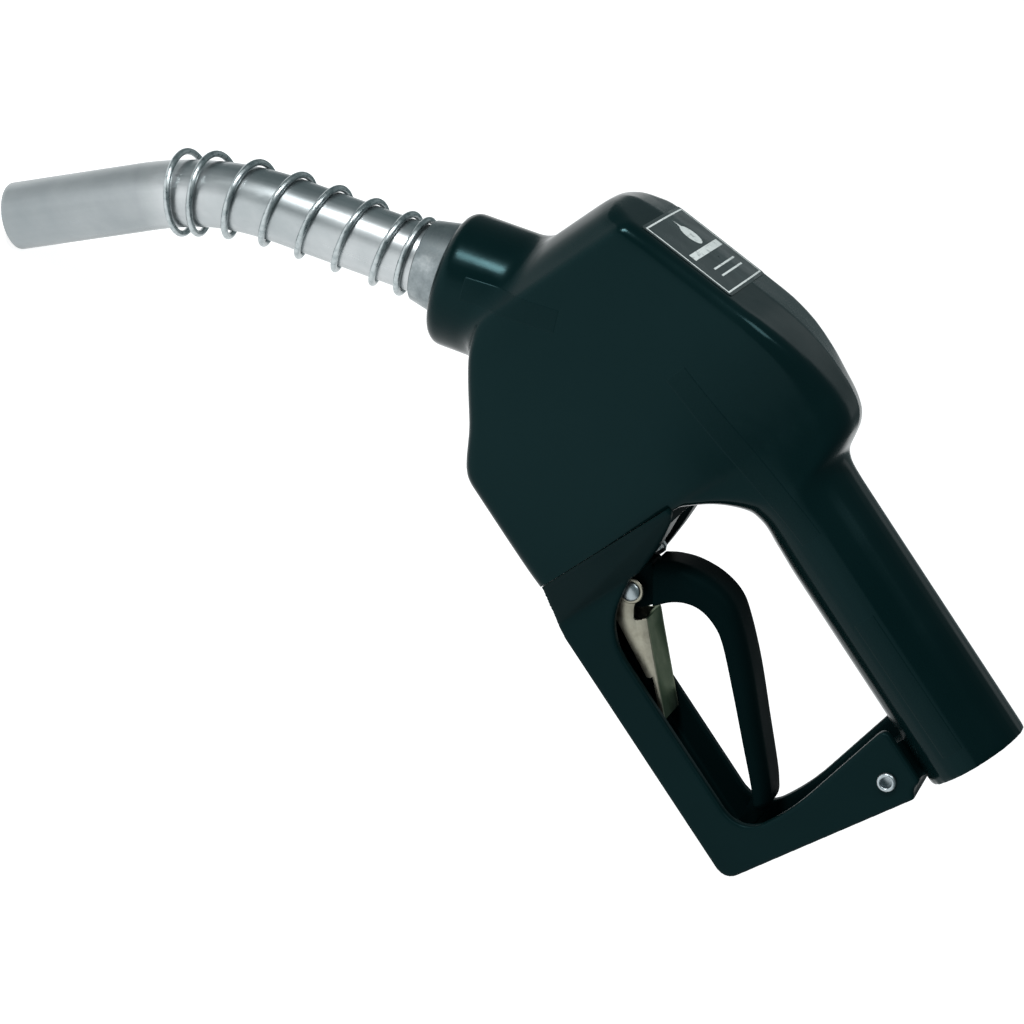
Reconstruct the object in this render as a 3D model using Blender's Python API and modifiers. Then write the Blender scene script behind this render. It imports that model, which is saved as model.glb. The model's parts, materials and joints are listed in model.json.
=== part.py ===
"""Automatic fuel nozzle: a lever-operated shut-off nozzle with a bent spout, built as separate parts.

Every dimension below is in millimetres; the mesh helpers convert to metres. The origin is the centre of the
hose inlet at the rear end of the handle. +X runs forward along the handle, +Z is up (towards the roof of the
body), and the nozzle is symmetric about the plane Y = 0 apart from the shut-off diaphragm on its right side.
"""

import math

import bmesh
import bpy
from mathutils import Matrix, Vector

MM = 0.001
GAP = 0.3                       # clearance kept between touching pieces

# ---------------------------------------------------------------- driving dimensions
HANDLE_RADIUS = 18.4            # outside of the cover's sleeve
COVER_WALL = 2.2
CASTING_INSET = 2.9             # the cover stretches over the casting with a little room
BODY_HALF_WIDTH = 28.5
BODY_FLOOR = -91.5              # underside of the valve body
ROOF_CROWN = 2.2                # rise of the roof's centre line above its edges
SEAM_X = 129.5                  # plane where the cover meets the lever guard
INLET_RADIUS = 13.2
INLET_DEPTH = 16.0
BORE_RADIUS = 10.5

SPOUT_BASE = (240.0, -65.4)     # X and Z of the spout's zero station
SPOUT_PITCH = math.radians(-38.4)
SPOUT_BEND = math.radians(-26.6)
BEND_START = 58.0
BEND_RADIUS = 126.0
STRAIGHT_TIP = 52.0
TUBE_RADIUS = 12.2
TUBE_WALL = 1.2
COLLAR_RADIUS = 24.0
COLLAR_DROP = 2.0               # the collar's axis lies this far below the spout's
COLLAR_FRONT = -3.0
WIRE_RADIUS = 1.2               # spout spring
COIL_FIRST_TURN = -0.4
COIL_LAST_TURN = 7.6
COIL_SLACK = 0.9                # the coil stands off the bend by this much more than off the straight tube

PIVOT_X = 110.8                 # lever and hold-open clip turn about this pin
PIVOT_Z = -70.0
STEM_Z = -56.0                  # axis of the main valve
STEM_RADIUS = 3.0
STEM_REAR = 115.7
STEM_BORE = 3.3                 # of the pieces that ride on the stem
GLAND_FACE = 131.0              # rear face of the gland nut, inside the casting's counterbore
RELEASE_X = 150.0               # axis of the shut-off diaphragm and its release pin
SEAT_X = 163.3
CHAMBER_RADIUS = 13.5
CHAMBER_FRONT = 194.0

GUARD_HALF_WIDTH = 16.0
GUARD_CHANNEL = 12.0            # half the width between the guard's cheeks
GUARD_BOTTOM = -98.0
GUARD_WEB = 5.0
RIVET_X = 10.3
RIVET_Z = -27.3
RIVET_RADIUS = 3.0
GUARD_SCREW_SIDE = 8.2
GUARD_SCREW_Z = -82.3
SCREW_HOLE = 1.9

LEVER_HALF_WIDTH = 11.3
HUB_HALF_WIDTH = 6.2
TAIL_HALF_WIDTH = 5.5
PIN_HOLE = 2.8
CLIP_HALF_WIDTH = 9.4
CLIP_SHEET = 1.1
LABEL_SPAN = (177.5, 213.0)     # X of the label's rear and front edges
LABEL_HALF_WIDTH = 23.3
LABEL_THICKNESS = 0.5
CAP_SCREW_CIRCLE = 13.8
CAP_SCREW_HOLE = 1.4
SET_SCREW_STATION = -20.0

SPOUT_LENGTH = BEND_START + BEND_RADIUS * abs(SPOUT_BEND) + STRAIGHT_TIP


# ---------------------------------------------------------------- collections, materials, helpers
def make_collection(name):
    collection = bpy.data.collections.new(name)
    bpy.context.scene.collection.children.link(collection)
    return collection


def clear_scene():
    for old in list(bpy.data.objects):
        bpy.data.objects.remove(old, do_unlink=True)


clear_scene()
PARTS = make_collection("fuel_nozzle")
CUTTERS = make_collection("cutters")


def make_material(name, colour, roughness, metallic):
    material = bpy.data.materials.new(name)
    material.use_nodes = True
    shader = material.node_tree.nodes["Principled BSDF"]
    shader.inputs["Base Color"].default_value = (*colour, 1.0)
    shader.inputs["Roughness"].default_value = roughness
    shader.inputs["Metallic"].default_value = metallic
    material.diffuse_color = (*colour, 1.0)
    return material


VINYL = make_material("black_vinyl", (0.012, 0.021, 0.022), 0.25, 0.0)
NYLON = make_material("black_nylon", (0.014, 0.022, 0.023), 0.5, 0.0)
ALUMINIUM = make_material("bright_aluminium", (0.74, 0.76, 0.77), 0.3, 1.0)
CAST = make_material("cast_aluminium", (0.55, 0.57, 0.58), 0.55, 1.0)
ZINC = make_material("plated_adapter", (0.42, 0.44, 0.45), 0.4, 1.0)
STEEL = make_material("spring_steel", (0.55, 0.57, 0.58), 0.28, 1.0)
NICKEL = make_material("nickel_plate", (0.78, 0.74, 0.69), 0.3, 1.0)
BRASS = make_material("brass", (0.72, 0.55, 0.26), 0.35, 1.0)
RUBBER = make_material("black_rubber", (0.02, 0.02, 0.02), 0.8, 0.0)
LABEL = make_material("label_film", (0.02, 0.025, 0.026), 0.35, 0.0)


def link(name, mesh, collection):
    piece = bpy.data.objects.new(name, mesh)
    collection.objects.link(piece)
    return piece


def finish(bm, name, material=None):
    """Write a bmesh given in millimetres to a new object: a part where it has a material, else a cutter."""
    bmesh.ops.remove_doubles(bm, verts=bm.verts, dist=0.001)
    bmesh.ops.recalc_face_normals(bm, faces=bm.faces)
    bmesh.ops.scale(bm, vec=(MM, MM, MM), verts=bm.verts)
    mesh = bpy.data.meshes.new(name)
    bm.to_mesh(mesh)
    bm.free()
    piece = link(name, mesh, PARTS if material else CUTTERS)
    if material:
        mesh.materials.append(material)
        mesh.shade_smooth()
        mesh.set_sharp_from_angle(angle=math.radians(35))
    else:
        piece.hide_render = True
        piece.display_type = "WIRE"
    return piece


def place(point, axis):
    """Matrix that takes local +Z to the given axis and the local origin to the given point."""
    turn = Vector(axis).to_track_quat("Z", "Y")
    return Matrix.Translation(Vector(point)) @ turn.to_matrix().to_4x4()


def cylinder(name, start, end, radius, material=None, sides=18):
    start, end = Vector(start), Vector(end)
    bm = bmesh.new()
    bmesh.ops.create_cone(bm, cap_ends=True, segments=sides, radius1=radius, radius2=radius,
                          depth=(end - start).length)
    bm.transform(place((start + end) / 2, end - start))
    return finish(bm, name, material)


def box(name, low, high, material=None):
    low, high = Vector(low), Vector(high)
    bm = bmesh.new()
    bmesh.ops.create_cube(bm, size=1.0)
    bmesh.ops.scale(bm, vec=high - low, verts=bm.verts)
    bmesh.ops.translate(bm, vec=(low + high) / 2, verts=bm.verts)
    return finish(bm, name, material)


def turned(name, profile, point, axis, material=None, sides=20):
    """Turn a closed profile of (radius, station) points about the axis through the point."""
    mesh = bpy.data.meshes.new(name)
    count = len(profile)
    edges = [(i, (i + 1) % count) for i in range(count) if profile[i][0] or profile[(i + 1) % count][0]]
    mesh.from_pydata([(radius, 0.0, station) for radius, station in profile], edges, [])
    blank = link(name + "_profile", mesh, CUTTERS)
    screw = blank.modifiers.new("turn", "SCREW")
    screw.steps = screw.render_steps = sides
    screw.use_merge_vertices = True
    screw.merge_threshold = 0.0001
    return bake(blank, name, material, place(point, axis))


def bake(blank, name, material=None, matrix=None):
    """Turn an object's evaluated shape, given in millimetres, into a plain mesh part."""
    evaluated = blank.evaluated_get(bpy.context.evaluated_depsgraph_get())
    mesh = bpy.data.meshes.new_from_object(evaluated)
    bm = bmesh.new()
    bm.from_mesh(mesh)
    bm.transform(matrix if matrix else blank.matrix_world)
    bpy.data.objects.remove(blank, do_unlink=True)
    bpy.data.meshes.remove(mesh)
    return finish(bm, name, material)


def rounded(corners, steps=5):
    """Points of a closed outline whose corners (x, z, setback) are rounded by arcs."""
    points = []
    for i, (x, z, setback) in enumerate(corners):
        here = Vector((x, z))
        if setback == 0:
            points.append(here)
            continue
        before = Vector(corners[i - 1][:2]) - here
        after = Vector(corners[(i + 1) % len(corners)][:2]) - here
        reach = min(setback, 0.49 * before.length, 0.49 * after.length)
        points += arc_between(here + before.normalized() * reach, here,
                              here + after.normalized() * reach, steps)
    return points


def arc_between(first, corner, last, steps):
    """Points of the arc that leaves one leg of a corner and joins the other, at equal setbacks."""
    legs = (first - corner).normalized().dot((last - corner).normalized())
    weight = math.sqrt(max(0.0, (1.0 - legs) / 2.0))
    points = []
    for k in range(steps + 1):
        u = k / steps
        parts = ((1 - u) ** 2, 2 * u * (1 - u) * weight, u * u)
        points.append((first * parts[0] + corner * parts[1] + last * parts[2]) / sum(parts))
    return points


def plate(name, outline, low_y, high_y, material=None, bevel=0.0, segments=2):
    """A flat outline in the XZ plane, given thickness along Y."""
    curve = bpy.data.curves.new(name, "CURVE")
    curve.dimensions = "2D"
    curve.fill_mode = "BOTH"
    curve.extrude = (high_y - low_y) / 2
    curve.resolution_u = 1
    spline = curve.splines.new("POLY")
    spline.points.add(len(outline) - 1)
    for knot, (x, z) in zip(spline.points, outline):
        knot.co = (x, z, 0.0, 1.0)
    spline.use_cyclic_u = True
    blank = link(name + "_outline", curve, CUTTERS)
    matrix = Matrix.Translation((0, (low_y + high_y) / 2, 0)) @ Matrix.Rotation(math.radians(90), 4, "X")
    piece = bake(blank, name, material, matrix)
    bpy.data.curves.remove(curve)
    if bevel:
        soften(piece, bevel, segments)
    return piece


def soften(piece, width, segments=2, angle=40):
    modifier = piece.modifiers.new("edges", "BEVEL")
    modifier.width = width * MM
    modifier.segments = segments
    modifier.limit_method = "ANGLE"
    modifier.angle_limit = math.radians(angle)
    modifier.harden_normals = False


def hull(name, points, material=None):
    bm = bmesh.new()
    for point in points:
        bm.verts.new(point)
    bmesh.ops.convex_hull(bm, input=bm.verts)
    return finish(bm, name, material)


def loft(name, rings, material=None):
    """A solid through rings of equal point counts, with flat ends."""
    bm = bmesh.new()
    rows = [[bm.verts.new(point) for point in ring] for ring in rings]
    for row, following in zip(rows, rows[1:]):
        for i in range(len(row)):
            j = (i + 1) % len(row)
            corner = [row[i], row[j], following[j], following[i]]
            first = 0 if i < len(row) // 2 else 1   # the diagonals mirror about the plane Y = 0
            bm.faces.new((corner[first], corner[first + 1], corner[first + 2]))
            bm.faces.new((corner[first], corner[first + 2], corner[(first + 3) % 4]))
    bm.faces.new(reversed(rows[0]))
    bm.faces.new(rows[-1])
    return finish(bm, name, material)


def combine(piece, tools, operation):
    """Add or cut away other solids, which stay behind as hidden cutters."""
    for tool in tools:
        if tool.users_collection[0] is PARTS:
            PARTS.objects.unlink(tool)
            CUTTERS.objects.link(tool)
            tool.hide_render = True
            tool.display_type = "WIRE"
        modifier = piece.modifiers.new(operation.lower(), "BOOLEAN")
        modifier.operation = operation
        modifier.solver = "EXACT"
        modifier.object = tool
    return piece


def cut(piece, *tools):
    return combine(piece, tools, "DIFFERENCE")


def join(piece, *tools):
    return combine(piece, tools, "UNION")


def wire(name, points, radius, material, resolution=2):
    """A round wire through the points."""
    curve = bpy.data.curves.new(name, "CURVE")
    curve.dimensions = "3D"
    curve.bevel_depth = radius
    curve.bevel_resolution = resolution
    curve.use_fill_caps = True
    spline = curve.splines.new("POLY")
    spline.points.add(len(points) - 1)
    for knot, point in zip(spline.points, points):
        knot.co = (*point, 1.0)
    blank = link(name + "_path", curve, CUTTERS)
    piece = bake(blank, name, material)
    bpy.data.curves.remove(curve)
    return piece


def helix(start, axis, length, radius, turns, per_turn=10):
    """Points of a compression spring with closed ends, along the axis from the start."""
    closed = 0.75               # turns at each end that lie nearly flat
    closed_rise = 0.08          # share of the length that each of them climbs
    frame = place(start, axis)
    count = int(turns * per_turn)
    points = []
    for k in range(count + 1):
        turn = turns * k / count
        rise = min(max((turn - closed) / (turns - 2 * closed), 0.0), 1.0)
        lead = min(turn, closed) / closed + max(turn - turns + closed, 0.0) / closed
        station = length * (closed_rise * lead + (1 - 2 * closed_rise) * rise)
        angle = 2 * math.pi * turn
        points.append(frame @ Vector((radius * math.cos(angle), radius * math.sin(angle), station)))
    return points


# ---------------------------------------------------------------- spout path
def direction(angle):
    return Vector((math.cos(angle), 0.0, math.sin(angle)))


def spout_frame(station, lift=0.0, side=0.0):
    """Point, tangent and in-plane normal of the spout's centre line, offset by lift and side."""
    first = direction(SPOUT_PITCH)
    start = Vector((SPOUT_BASE[0], 0.0, SPOUT_BASE[1]))
    arc = min(max(station - BEND_START, 0.0), BEND_RADIUS * abs(SPOUT_BEND))
    turned_by = -arc / BEND_RADIUS
    tangent = direction(SPOUT_PITCH + turned_by)
    normal = direction(SPOUT_PITCH + turned_by + math.pi / 2)
    point = start + first * min(station, BEND_START)
    if station > BEND_START:
        centre = point - direction(SPOUT_PITCH + math.pi / 2) * BEND_RADIUS
        point = centre + normal * BEND_RADIUS
        point += tangent * max(station - BEND_START - arc, 0.0)
    return point + normal * lift + Vector((0.0, side, 0.0)), tangent, normal


def on_spout(station, drop=0.0):
    return spout_frame(station, lift=-drop)[0]


# ---------------------------------------------------------------- body outline
# Stations along the handle and body: X, its shift when the wall is inset, floor, then (half width, height,
# setback) of the bottom, middle and top corners, and the crown above the top corners.
BODY_STATIONS = [
    (0.0, 0, -18.4, (18.4, -18.4, 18.4), (18.4, 0.0, 2.0), (18.4, 18.4, 18.4), 0.0),
    (84.0, 0, -18.4, (18.4, -18.4, 18.4), (18.4, 0.0, 2.0), (18.4, 18.4, 18.4), 0.0),
    (98.0, 0, -17.6, (18.6, -17.6, 17.0), (18.7, 0.0, 2.0), (18.4, 18.4, 18.4), 0.0),
    (107.0, 0, -16.2, (19.4, -16.2, 14.0), (19.5, 0.0, 3.0), (18.2, 18.6, 17.6), 0.1),
    (112.0, 0, -16.6, (20.2, -16.6, 12.0), (20.2, 0.5, 3.5), (17.4, 19.6, 14.5), 0.3),
    (114.5, 0, -17.8, (20.8, -17.8, 10.5), (20.4, 1.0, 4.0), (16.2, 23.0, 11.5), 0.8),
    (118.0, 0, -20.4, (21.8, -20.4, 9.0), (20.8, 1.5, 5.0), (15.4, 27.4, 9.0), 1.6),
    (122.0, 0, -24.6, (23.2, -24.6, 7.5), (21.3, 1.0, 6.0), (15.6, 29.6, 8.0), 2.2),
    (126.0, 0, -31.0, (24.8, -31.0, 6.0), (22.0, 0.0, 7.0), (16.4, 30.4, 7.5), 2.6),
    (SEAM_X - 0.4, 1, -37.0, (26.2, -37.0, 5.0), (24.2, -12.0, 8.0), (17.0, 30.7, 7.0), 2.8),
    (SEAM_X, 1, BODY_FLOOR + 1.2, (27.0, BODY_FLOOR + 1.2, 4.0), (26.2, -24.0, 8.0), (17.0, 30.7, 7.0), 2.8),
    (SEAM_X + 1.6, 1, BODY_FLOOR, (27.6, BODY_FLOOR, 4.5), (27.0, -25.0, 8.0), (17.3, 30.8, 7.0), 2.8),
    (140.0, 0, BODY_FLOOR, (28.3, BODY_FLOOR, 4.5), (28.1, -24.0, 9.0), (20.0, 31.0, 6.5), 2.6),
    (152.0, 0, BODY_FLOOR, (28.5, BODY_FLOOR, 4.5), (28.5, -23.0, 9.0), (24.8, 29.9, 6.0), 2.3),
    (164.0, 0, BODY_FLOOR, (28.5, BODY_FLOOR, 4.5), (28.5, -22.0, 9.0), (27.8, 27.1, 5.5), ROOF_CROWN),
    (172.5, -0.6, BODY_FLOOR, (28.5, BODY_FLOOR, 4.5), (28.5, -21.0, 9.0), (28.4, 24.1, 5.0), ROOF_CROWN),
    (190.0, -0.6, -79.6, (28.5, -79.6, 4.5), (28.5, -20.0, 9.0), (28.4, 17.9, 5.0), ROOF_CROWN),
    (208.0, -0.6, -67.3, (28.3, -67.3, 4.5), (28.5, -22.0, 9.0), (28.4, 11.5, 5.0), ROOF_CROWN),
    (214.5, -0.8, -61.4, (27.6, -61.4, 5.0), (28.3, -22.0, 9.0), (28.2, 9.0, 5.5), ROOF_CROWN),
    (219.0, -1, -54.0, (24.0, -54.0, 6.0), (25.4, -22.0, 9.0), (25.4, 7.0, 6.0), 2.0),
    (223.5, -1, -46.0, (18.0, -46.0, 7.0), (20.5, -21.0, 8.0), (20.8, 4.6, 6.5), 1.7),
    (226.6, -1, -38.0, (10.0, -38.0, 5.0), (12.5, -19.0, 6.0), (12.5, 1.8, 5.0), 1.0),
    (227.8, -1, -34.0, (5.0, -34.0, 3.0), (6.0, -17.0, 3.0), (6.0, -1.0, 3.0), 0.5),
]


def half_section(corners, inset, floor, crown, steps):
    """Half of a rounded section, from the centre of its floor round to the centre of its roof."""
    inner = [Vector((width - inset, height + inset * rise))
             for (width, height, _), rise in zip(corners, (1, 0, -1))]
    ends = [Vector((0.0, floor + inset))] + inner + [Vector((0.0, corners[2][1] + crown - inset))]
    legs = [(after - before).length for before, after in zip(ends, ends[1:])]
    low, middle, high = [max(setback - inset, 0.6) for _, _, setback in corners]
    low = min(low, legs[0], legs[1] - 0.4)
    high = min(high, legs[2] - 0.4, legs[3])
    middle = min(middle, legs[1] - low, legs[2] - high) - 0.1
    points = [ends[0]]
    for i, reach in enumerate((low, middle, high)):
        here = inner[i]
        before = (ends[i] - here).normalized()
        after = (ends[i + 2] - here).normalized()
        points += arc_between(here + before * reach, here, here + after * reach, steps)
    points.append(ends[-1])
    return points


def body_form(name, inset, material=None, rear=0.0, steps=3):
    """The outside of the handle and body, with its walls moved in by the inset."""
    rings = []
    for i, (x, shift, floor, bottom, middle, top, crown) in enumerate(BODY_STATIONS):
        half = half_section((bottom, middle, top), inset, floor, crown, steps)
        station = x + shift * inset + (rear if i == 0 else 0.0)
        left = [Vector((station, point.x, point.y)) for point in half]
        right = [Vector((station, -point.x, point.y)) for point in half[-2:0:-1]]
        rings.append(left + right)
    return loft(name, rings, material)


def collar_form(name, inset, front, material=None, back=-50.0, edge=4.0):
    """The round nose of the body, on an axis just below the spout's."""
    radius = COLLAR_RADIUS - inset
    edge = max(edge - inset, 1.0)
    profile = [(0.0, back), (radius - 3.0, back), (radius, back + 6.0)]
    for k in range(5):
        angle = math.radians(22.5 * k)
        profile.append((radius - edge + edge * math.cos(angle), front - edge + edge * math.sin(angle)))
    profile.append((0.0, front))
    base = on_spout(0.0, COLLAR_DROP)
    return turned(name, profile, base, direction(SPOUT_PITCH), material)


def roof_height(x):
    """Height of the roof's side edges on the sloping stretch that carries the label."""
    low, high = next((a, b) for a, b in zip(BODY_STATIONS, BODY_STATIONS[1:]) if a[0] <= x <= b[0])
    share = (x - low[0]) / (high[0] - low[0])
    return low[5][1] + share * (high[5][1] - low[5][1])


# ---------------------------------------------------------------- cover and casting
def along_spout(name, start, end, radius, material=None, drop=0.0, **options):
    return cylinder(name, on_spout(start, drop), on_spout(end, drop), radius, material, **options)


def make_cover():
    cover = body_form("body_cover", 0.0, VINYL)
    join(cover, collar_form("cover_collar", 0.0, COLLAR_FRONT))
    inside = body_form("cover_inside", COVER_WALL, rear=-3.0, steps=2)
    join(inside, collar_form("cover_collar_inside", COVER_WALL, COLLAR_FRONT - COVER_WALL))
    mouth = along_spout("cover_mouth", -12.0, 4.0, 17.6)
    window = box("cover_window", (SEAM_X - 4, -21.5, -86.5), (SEAM_X + 6, 21.5, -41.0))
    lug_slot = box("cover_lug_slot", (-2.0, -7.0, -24.0), (20.0, 7.0, -10.0))
    return cut(cover, inside, mouth, window, lug_slot)


def bore(name, start, end, radius, z, **options):
    """A round cutter along X on the plane of symmetry."""
    return cylinder(name, (start, 0, z), (end, 0, z), radius, **options)


def cross_bore(name, start, end, radius, x, z, **options):
    """A round cutter along Y."""
    return cylinder(name, (x, start, z), (x, end, z), radius, **options)


def make_casting():
    """The valve body and handle, cast in one piece and bored for the fuel way and the valves."""
    casting = body_form("body_casting", CASTING_INSET, CAST, rear=1.2, steps=2)
    join(casting, collar_form("casting_nose", CASTING_INSET, COLLAR_FRONT - CASTING_INSET))
    join(casting, box("casting_lug", (4.8, -6.0, -34.0), (18.0, 6.0, -12.0)))
    cut(casting,
        bore("inlet_socket", -2, INLET_DEPTH, INLET_RADIUS, 0),
        bore("handle_bore", -2, 158, BORE_RADIUS, 0),
        cylinder("down_passage", (152, 0, 4), (152, 0, STEM_Z), 8.5),
        plate("roof_chamber", [(142, -26), (188, -26), (188, 6), (142, 18)], -19.0, 19.0),
        bore("rear_chamber", 144, 164, 8.4, STEM_Z),
        bore("front_chamber", SEAT_X - GAP, CHAMBER_FRONT, CHAMBER_RADIUS, STEM_Z),
        bore("gland_counterbore", SEAM_X - 4, GLAND_FACE + 4.9, 6.6, STEM_Z),
        bore("gland_pocket", SEAM_X - 4, 142, 5.3, STEM_Z),
        bore("stem_bore", 140, 146, STEM_RADIUS + 0.4, STEM_Z),
        bore("latch_pocket", SEAM_X - 4, 143, 6.3, PIVOT_Z),
        bore("latch_bore", 140, 161.5, 4.3, PIVOT_Z),
        cross_bore("diaphragm_pocket", -30, -14.5, 16.5, RELEASE_X, PIVOT_Z),
        cross_bore("release_bore", -16, 6.5, 2.4, RELEASE_X, PIVOT_Z),
        along_spout("adapter_bore", -34.3, 2.0, 15.5),
        along_spout("outlet_passage", -52.0, -33.0, 10.0),
        cross_bore("rivet_hole", -20, 20, RIVET_RADIUS + GAP, RIVET_X, RIVET_Z))
    for x, z in cap_screw_places():
        cut(casting, cross_bore("cap_screw_hole", -16, -11.5, CAP_SCREW_HOLE, x, z, sides=16))
    for side in (-1, 1):
        cut(casting, guard_screw_hole(side, "guard_screw_hole"))
    cut(casting, set_screw_bore("set_screw_hole", 10.0, 22.0, 2.8))
    return casting


def cap_screw_places():
    """X and Z of the four screws round the diaphragm cap."""
    for k in range(4):
        angle = math.radians(50 + 90 * k)
        yield RELEASE_X + CAP_SCREW_CIRCLE * math.cos(angle), PIVOT_Z + CAP_SCREW_CIRCLE * math.sin(angle)


def set_screw_bore(name, low, high, radius, material=None, sides=16):
    """A round solid across the spout's line at the set screw, from one height above the line to another."""
    start, end = [spout_frame(SET_SCREW_STATION, lift)[0] for lift in (low, high)]
    return cylinder(name, start, end, radius, material, sides)


def make_label():
    """A thin film folded over the roof's centre line."""
    side_rise = 0.35            # of the film's side edges over the roof's
    under = [(-LABEL_HALF_WIDTH, side_rise), (0.0, ROOF_CROWN), (LABEL_HALF_WIDTH, side_rise)]
    over = [(y, z + LABEL_THICKNESS) for y, z in reversed(under)]
    rings = []
    for x in LABEL_SPAN:
        edge = roof_height(x) + GAP
        rings.append([(x, y, edge + z) for y, z in under + over])
    return loft("label_plate", rings, LABEL)


# ---------------------------------------------------------------- lever guard
def make_guard():
    """A channel-section hand guard: cheeks joined by a web along the outside, flared to meet the cover."""
    rear_foot = (0.4, -21.0)
    outside = [(SEAM_X - 5.5, -96.5, 4), (118.0, GUARD_BOTTOM, 4), (7.6, GUARD_BOTTOM, 5), (*rear_foot, 0),
               (0.6, -17.6, 0), (6.0, -17.6, 0), (26.4, -17.6, 3)]
    inside = [(17.6, -63.0, 10), (19.0, -83.8, 13), (104.0, -83.8, 16), (117.5, -61.5, 10),
              (125.2, -42.0, 0), (SEAM_X - 3.2, -38.0, 0)]
    guard = plate("lever_guard", rounded(outside + inside), -GUARD_HALF_WIDTH, GUARD_HALF_WIDTH, NYLON)
    soften(guard, 1.2, 1, 50)
    rim = (SEAM_X - GAP - 0.1, 26.3)
    flare = [(rim[0], side * rim[1], z) for side in (-1, 1) for z in (-38.2, -89.6)]
    flare += [(x, side * y, z) for side in (-1, 1)
              for x, y, z in ((126.4, 23.6, -39.5), (122.2, 20.1, -47.6), (117.6, 16.8, -58.6),
                              (116.0, GUARD_HALF_WIDTH, -66.5), (127.0, GUARD_HALF_WIDTH, -95.6))]
    join(guard, hull("guard_flare", flare))
    web = [(SEAM_X - 5.0, -60.0), (SEAM_X - 5.0, GUARD_BOTTOM + GUARD_WEB), (12.5, GUARD_BOTTOM + GUARD_WEB),
           (7.0, -45.0), (3.8, -36.0), (3.8, 10.0), (SEAM_X - 5.0, 10.0)]
    cut(guard, plate("guard_channel", web, -GUARD_CHANNEL, GUARD_CHANNEL))
    spigot = box("guard_spigot", (SEAM_X - 2.0, -20.5, -85.5), (SEAM_X + 2.0, 20.5, -42.0))
    join(guard, spigot)
    cut(guard, box("stem_slot", (SEAM_X - 8.0, -8.0, -77.5), (SEAM_X + 6.0, 8.0, -48.5)),
        cross_bore("guard_rivet_hole", -20, 20, RIVET_RADIUS + GAP, RIVET_X, RIVET_Z))
    for side in (-1, 1):
        cut(guard, guard_screw_hole(side, "guard_screw_way"))
    return guard


def guard_screw_hole(side, name):
    return cylinder(name, (SEAM_X - 9, side * GUARD_SCREW_SIDE, GUARD_SCREW_Z),
                    (SEAM_X + 14, side * GUARD_SCREW_SIDE, GUARD_SCREW_Z), SCREW_HOLE, sides=12)


def make_guard_hardware():
    tube = [(RIVET_RADIUS, -16.5), (RIVET_RADIUS, 16.5), (3.9, 16.5), (3.9, 17.2), (3.2, 17.6), (1.9, 17.6),
            (1.9, -17.6), (3.2, -17.6), (3.9, -17.2), (3.9, -16.5)]
    turned("guard_rivet", tube[::-1], (RIVET_X, 0, RIVET_Z), (0, 1, 0), ALUMINIUM, sides=16)
    for number, side in enumerate((-1, 1), 1):
        profile = [(0, 12.4), (1.6, 12.4), (1.6, -5.3), (3.0, -5.3), (3.0, -7.4), (2.4, -8.0), (0, -8.0)]
        turned(f"guard_screw_{number}", profile, (SEAM_X, side * GUARD_SCREW_SIDE, GUARD_SCREW_Z),
               (1, 0, 0), STEEL, sides=12)


# ---------------------------------------------------------------- lever, clip and latch
def make_lever():
    """The squeeze lever: a slotted hub on the pin, and a curved grip that reaches back over the guard."""
    outline = [(116.2, -62.0, 4), (114.6, -52.0, 6), (104.0, -43.8, 6), (90.0, -40.0, 7), (76.0, -44.8, 4),
               (26.6, -66.9, 2), (21.6, -73.0, 2.5), (24.5, -76.4, 2.5), (34.5, -70.6, 3), (72.0, -54.0, 5),
               (87.5, -48.8, 7), (99.0, -54.5, 7), (102.0, -66.0, 3), (104.6, -74.6, 5), (114.0, -76.6, 5),
               (117.0, -69.0, 3)]
    lever = plate("lever", rounded(outline, 3), -LEVER_HALF_WIDTH, LEVER_HALF_WIDTH, NYLON)
    for side in (-1, 1):
        low, high = sorted((side * HUB_HALF_WIDTH, side * (LEVER_HALF_WIDTH + 1)))
        cheek = [(101.4, -80.0), (102.6, -64.0), (106.0, -55.2), (112.0, -58.0), (120.0, -60.0), (120.0, -80.0)]
        cut(lever, plate("hub_side", cheek, low, high))
    tail = [(31.0, -70.0, 3), (24.0, -69.5, 3), (18.6, -77.0, 4), (16.6, -87.2, 2.5), (20.4, -88.6, 2.5),
            (24.6, -80.0, 4)]
    join(lever, plate("lever_tail", rounded(tail, 3), -TAIL_HALF_WIDTH, TAIL_HALF_WIDTH))
    cut(lever, box("tongue_slot", (PIVOT_X - 8.0, -4.4, -80.0), (PIVOT_X + 12.0, 4.4, -63.4)),
        pin_hole("lever_pin_hole", PIN_HOLE + 0.1))
    soften(lever, 1.1, 1, 50)
    return lever


def pin_hole(name, radius=PIN_HOLE, half=14.0):
    return cross_bore(name, -half, half, radius, PIVOT_X, PIVOT_Z, sides=16)


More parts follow.
